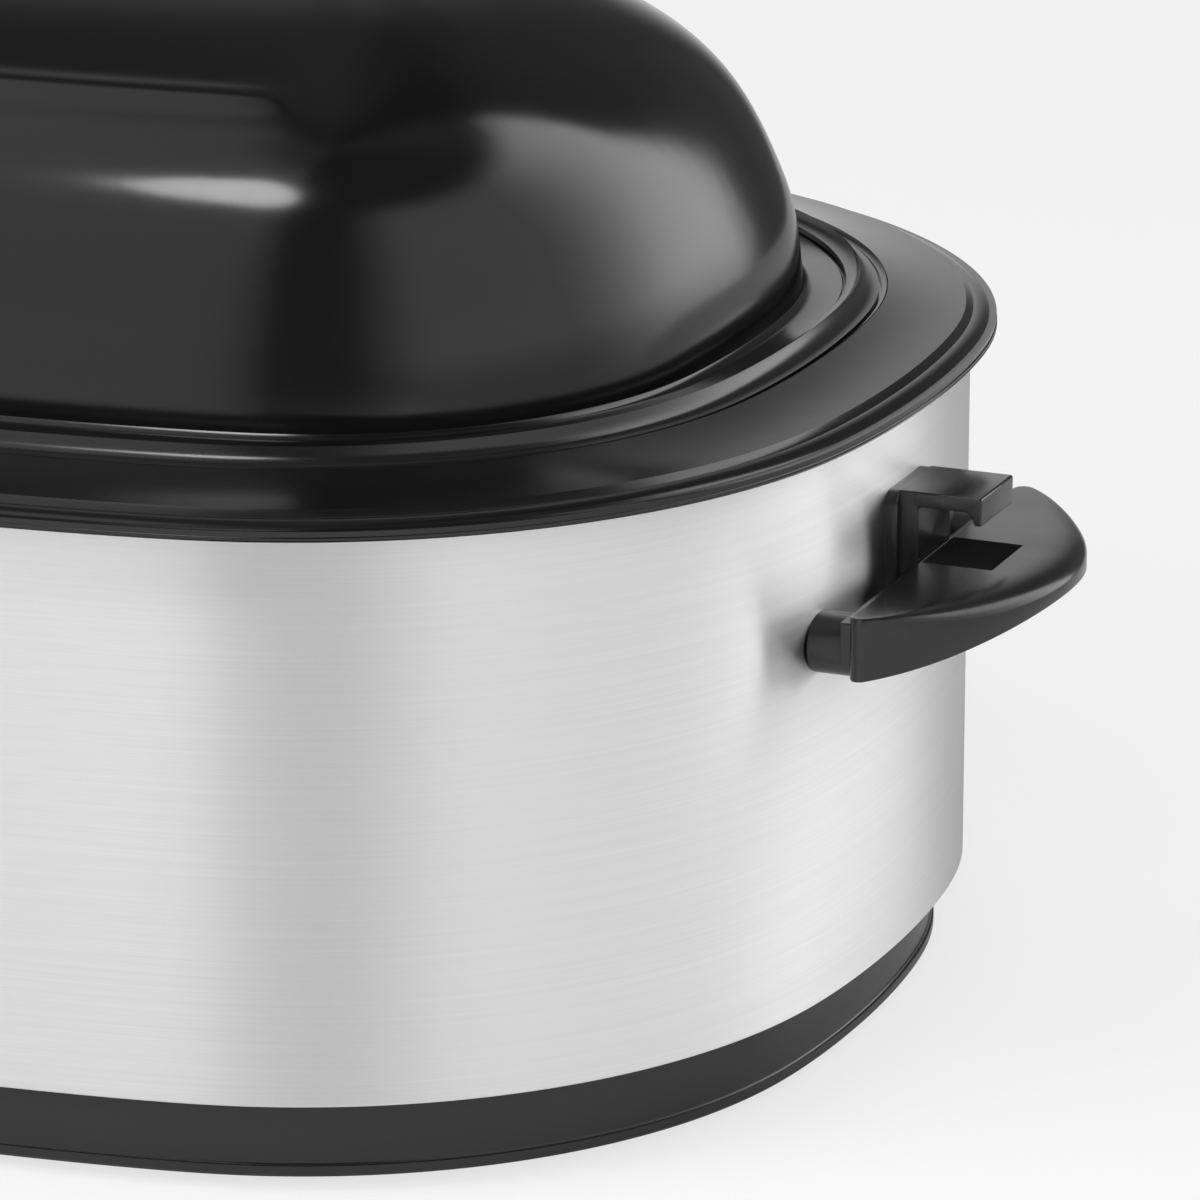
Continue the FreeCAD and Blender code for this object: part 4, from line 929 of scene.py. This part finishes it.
def make_grip():
    """Arched grip on the lid."""
    half = GRIP_HIGH.x
    low, top = GRIP_LOW.z, GRIP_HIGH.z
    gap = half - 0.024
    bar = 0.011
    side = 0.008
    outline = section(
        (-half + 0.0006, low), (-half, low + 0.0010), (-half, low + side),
        (-0.0026, -half + 0.014, top - 0.0056),
        (-0.0010, -gap + 0.004, top - 0.0022),
        (-0.0021, gap - 0.004, top - 0.0022),
        (-0.0010, half - 0.014, top - 0.0056),
        (-0.0026, half, low + side),
        (half, low + 0.0010), (half - 0.0006, low), (gap, low), (gap, top - bar - side),
        (0.0024, gap - side, top - bar),
        (-gap + side, top - bar),
        (0.0024, -gap, top - bar - side), (-gap, low))
    verts, faces = plate_solid(outline, GRIP_LOW.y, GRIP_HIGH.y, 0.0042, "Y")
    grip = make_object("lid_grip", verts, faces, FINISHES["handle_black"], "lid")
    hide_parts("lid_handle")


# Dial

def make_bezel():
    """Round dial plate with a raised rim and a ring of plain figures."""
    front = BEZEL_LOW.y
    back = BEZEL_HIGH.y
    radius = BEZEL_HIGH.x
    face = front + 0.001
    line = section((BORE, back), (radius, back), (radius, front + 0.0004), (-0.00012, radius - 0.0004, front),
                   (radius - 0.0016, front), (-0.00012, radius - 0.0020, front + 0.0004), (radius - 0.0020, face),
                   (BORE, face))
    angles = full_turn(BEZEL_POINTS)
    verts, faces = loft([turned_ring(r, y, DIAL_CENTRE, angles) for r, y in line], closed=True)
    bezel = make_object("dial_plate", verts, faces, FINISHES["dial_plate"], "base")
    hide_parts("control_bezel")
    gaps = len(FIGURES) - 1
    for index, figure in enumerate(FIGURES):
        write_figure(figure, SCALE_START - SCALE_SWEEP / gaps * index, face)
    gaps *= MARKS_PER_FIGURE
    for index in range(gaps + 1):
        end = MARK_END if index % MARKS_PER_FIGURE else LONG_MARK_END
        write_mark(SCALE_START - SCALE_SWEEP * index / gaps, end, face, index)


def write_figure(words, degrees, face):
    """A figure on the dial plate, upright."""
    curve = bpy.data.curves.new("figure_" + words, "FONT")
    curve.body = words
    curve.size = FIGURE_SIZE
    curve.align_x = "CENTER"
    curve.align_y = "CENTER"
    curve.extrude = INK_HEIGHT
    figure = bpy.data.objects.new("figure_" + words, curve)
    bpy.context.scene.collection.objects.link(figure)
    angle = math.radians(degrees)
    figure.location = (FIGURE_RADIUS * math.cos(angle), face - 0.00005,
                       DIAL_HEIGHT + FIGURE_RADIUS * math.sin(angle))
    figure.rotation_euler = (math.pi / 2, 0, 0)
    curve.materials.append(INK)
    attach(figure, "base")


def write_mark(degrees, end, face, index):
    """A short line on the dial plate, out to a radius."""
    half = 0.00028
    angle = math.radians(degrees)
    way = np.array([math.cos(angle), 0, math.sin(angle)])
    side = np.array([-math.sin(angle), 0, math.cos(angle)])
    centre = np.array([0, 0, DIAL_HEIGHT])
    flat = [centre + way * MARK_START - side * half, centre + way * end - side * half,
            centre + way * end + side * half, centre + way * MARK_START + side * half]
    rings = []
    for y in (face + 0.00005, face - INK_HEIGHT):
        ring = np.array(flat)
        ring[:, 1] = y
        rings.append(ring)
    verts, faces = loft(rings)
    make_object("dial_mark_%02d" % index, verts, faces, INK, "base")


def make_knob():
    """Dial knob: a knurled skirt and a rounded grip bar with a white pointer."""
    back, front = KNOB_HIGH.y, KNOB_LOW.y
    radius = KNOB_HIGH.x
    skirt = section((0.0035, back), (radius - 0.0012, back), (radius - 0.0004, back - 0.0008),
                    (-0.0005, radius - 0.0016, back - 0.0036), (0.0170, back - 0.0052), (0.0035, back - 0.0056))
    angles = full_turn(KNOB_POINTS)
    wave = KNURL_DEPTH * np.cos(KNURLS * angles)
    base = loft([turned_ring(size + (wave if size > KNURLED_FROM else 0), y, DIAL_CENTRE, angles)
                 for size, y in skirt])
    half = GRIP_HALF
    bow_out = 0.0010
    foot = DIAL_HEIGHT - GRIP_LENGTH + half
    head = DIAL_HEIGHT + GRIP_LENGTH - half + 0.0008
    outline = section((-half, foot), (0.0028, half, foot), (bow_out, half - 0.0008, head),
                      (0.0022, -half + 0.0008, head), (bow_out, -half, foot))[:-1]
    grip = plate_solid(outline, front, back - 0.0042, 0.0022, "Y")
    knob = worked("knob", base, [("UNION", grip)])
    dress(knob, FINISHES["knob_black"], "knob")
    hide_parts("control_knob")
    verts, faces = box_solid((-0.0006, 0.0006), (front - 0.00002, front + 0.0006),
                             (DIAL_HEIGHT + 0.0050, DIAL_HEIGHT + 0.0160), 0.0002)
    make_object("knob_pointer", verts, faces, INK, "knob")


def make_lens():
    """Domed lens of the pilot lamp."""
    x = (LENS_LOW.x + LENS_HIGH.x) / 2
    radius = (LENS_HIGH.x - LENS_LOW.x) / 2
    front, back = LENS_LOW.y, LENS_HIGH.y
    dome = radius - 0.0012
    line = section((0.0003, back), (radius - 0.0022, back), (radius - 0.0022, front + 0.0048),
                   (radius, front + 0.0044), (radius, front + 0.0034), (-0.0001, radius - 0.0004, front + 0.0030),
                   (dome, front + 0.0030), (-0.0011, 0.0003, front))
    angles = full_turn(LENS_POINTS)
    verts, faces = loft([turned_ring(r, y, (x, DIAL_HEIGHT), angles) for r, y in line])
    lens = make_object("lamp_lens", verts, faces, FINISHES["lens"], "base")
    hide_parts("pilot_lens")


# What keeps its CAD shape

def finish_nodes():
    """Every node of the frame gets its slot's material."""
    for entry in frame["record"]["subparts"]:
        node = frame["nodes"][entry["node"]]
        node.data.materials.clear()
        node.data.materials.append(FINISHES[entry["material_slot"]])


# Stage, lights and camera

def make_floor():
    """Pale floor that takes the shadow; the camera sees it nearly white."""
    half = FLOOR_HALF
    mesh = bpy.data.meshes.new("floor")
    mesh.from_pydata([(-half, -half, 0), (half, -half, 0), (half, half, 0), (-half, half, 0)], [], [(0, 1, 2, 3)])
    floor = bpy.data.objects.new("floor", mesh)
    bpy.context.scene.collection.objects.link(floor)
    finish = Finish("floor", (0.86, 0.86, 0.86), 0.7)
    finish.drive("Base Color", finish.blend(finish.noise(3.0, 4.0), (0.85, 0.85, 0.85), (0.87, 0.87, 0.87)))
    path = finish.node("ShaderNodeLightPath")
    share = finish.combine("MULTIPLY", path.outputs["Is Camera Ray"], FLOOR_WHITE)
    white = finish.emission("ShaderNodeEmission", 1.0)
    output = finish.nodes["Material Output"]
    finish.links.new(finish.mix(share, finish.shader.outputs[0], white), output.inputs["Surface"])
    mesh.materials.append(finish.material)


def make_world():
    """White backdrop for the camera, a studio with soft dark gaps for glossy surfaces, plain light for the rest."""
    world = bpy.data.worlds.new("studio")
    bpy.context.scene.world = world
    tree = Tree(world)
    tree.nodes.clear()
    path = tree.node("ShaderNodeLightPath")
    seen = tree.combine("MAXIMUM", path.outputs["Is Camera Ray"], path.outputs["Is Transmission Ray"])
    soft = tree.emission("ShaderNodeBackground", ROOM_LIGHT)
    mirrored = tree.node("ShaderNodeBackground")
    tree.links.new(studio_level(tree), mirrored.inputs["Strength"])
    lit = tree.mix(path.outputs["Is Glossy Ray"], soft, mirrored.outputs[0])
    output = tree.node("ShaderNodeOutputWorld")
    surface = tree.mix(seen, lit, tree.emission("ShaderNodeBackground", 1.0))
    tree.links.new(surface, output.inputs["Surface"])


def studio_level(tree):
    """How bright the studio is in each direction, from its azimuth round Z, 0 in front, and its elevation."""
    coordinates = tree.node("ShaderNodeTexCoord")
    parts = tree.node("ShaderNodeSeparateXYZ")
    tree.links.new(coordinates.outputs["Generated"], parts.inputs[0])
    x, y, z = parts.outputs
    azimuth = tree.combine("ARCTAN2", x, tree.combine("MULTIPLY", y, -1.0))
    left = tree.combine("MULTIPLY", angle_span(tree, azimuth, -125, -100, 0.1, 0.95),
                        angle_span(tree, azimuth, -7, 10, 1.0, 0.02))
    left = tree.combine("MULTIPLY", left, level_span(tree, z, 74, 84, 1.0, 0.3))
    front = angle_span(tree, azimuth, 26, 56, 0.0, 1.1)
    right = angle_span(tree, azimuth, 95, 145, 0.0, 2.4)
    edge = angle_span(tree, azimuth, 154, 160, 1.0, 0.02)
    box = tree.combine("MULTIPLY", tree.combine("ADD", front, right), edge)
    box = tree.combine("MULTIPLY", box, level_span(tree, z, 52, 62, 1.0, 0.05))
    box = tree.combine("MULTIPLY", box, level_span(tree, z, -8, 8, 0.5, 1.0))
    behind = tree.combine("MULTIPLY", angle_span(tree, azimuth, -177, -160, 0.05, 0.95),
                          angle_span(tree, azimuth, -150, -125, 1.0, 0.1))
    behind = tree.combine("MULTIPLY", behind, level_span(tree, z, 18, 28, 1.0, 0.5))
    behind = tree.combine("MULTIPLY", behind, level_span(tree, z, 45, 56, 1.0, 0.2))
    return tree.combine("ADD", tree.combine("ADD", left, behind), box)


def angle_span(tree, angle, start, end, low, high):
    """A smooth step between two azimuths in degrees."""
    return tree.span(angle, math.radians(start), math.radians(end), low, high, "SMOOTHSTEP")


def level_span(tree, height, start, end, low, high):
    """A smooth step between two elevations in degrees."""
    return tree.span(height, math.sin(math.radians(start)), math.sin(math.radians(end)), low, high, "SMOOTHSTEP")


def softbox(name, place, aim, width, height, power, mirrored=False):
    """A large soft lamp that faces a point; unless it is mirrored, the studio's own brightness stands for it."""
    lamp = bpy.data.lights.new(name, "AREA")
    lamp.shape = "ELLIPSE" if mirrored else "RECTANGLE"
    lamp.size = width
    lamp.size_y = height
    lamp.energy = power
    item = bpy.data.objects.new(name, lamp)
    bpy.context.scene.collection.objects.link(item)
    item.location = place
    item.rotation_euler = (Vector(aim) - Vector(place)).to_track_quat("-Z", "Y").to_euler()
    item.visible_glossy = mirrored


def make_lights():
    """Two large softboxes and a small lamp above, whose reflection lies on the lid."""
    centre = (0.0, 0.0, 0.15)
    softbox("softbox_left", (-1.75, -1.75, 1.35), centre, 1.3, 1.5, 46)
    softbox("softbox_right", (1.3, -1.8, 1.2), centre, 1.2, 1.2, 26)
    softbox("lamp_above", (-0.06, -0.79, 1.69), (0.05, -0.13, 0.24), 0.56, 0.36, 5.0, True)


def make_camera():
    """Camera at the photograph's viewing angle."""
    data = bpy.data.cameras.new("camera")
    data.lens = LENS
    data.sensor_width = SENSOR
    data.clip_end = 50.0
    camera = bpy.data.objects.new("camera", data)
    bpy.context.scene.collection.objects.link(camera)
    camera.location = CAMERA_PLACE
    look = Vector((-math.sin(CAMERA_AZIMUTH) * math.cos(CAMERA_DROP),
                   math.cos(CAMERA_AZIMUTH) * math.cos(CAMERA_DROP), -math.sin(CAMERA_DROP)))
    camera.rotation_mode = "QUATERNION"
    camera.rotation_quaternion = look.to_track_quat("-Z", "Y")
    bpy.context.scene.camera = camera


make_camera()
finish_nodes()
make_wall()
make_base()
make_rim()
make_pan()
make_lid()
make_handle("handle_right_shell", False, "handle_right")
make_handle("handle_left_shell", True, "handle_left")
make_grip()
make_bezel()
make_knob()
make_lens()
make_floor()
make_world()
make_lights()
bpy.context.scene.view_settings.view_transform = "Standard"
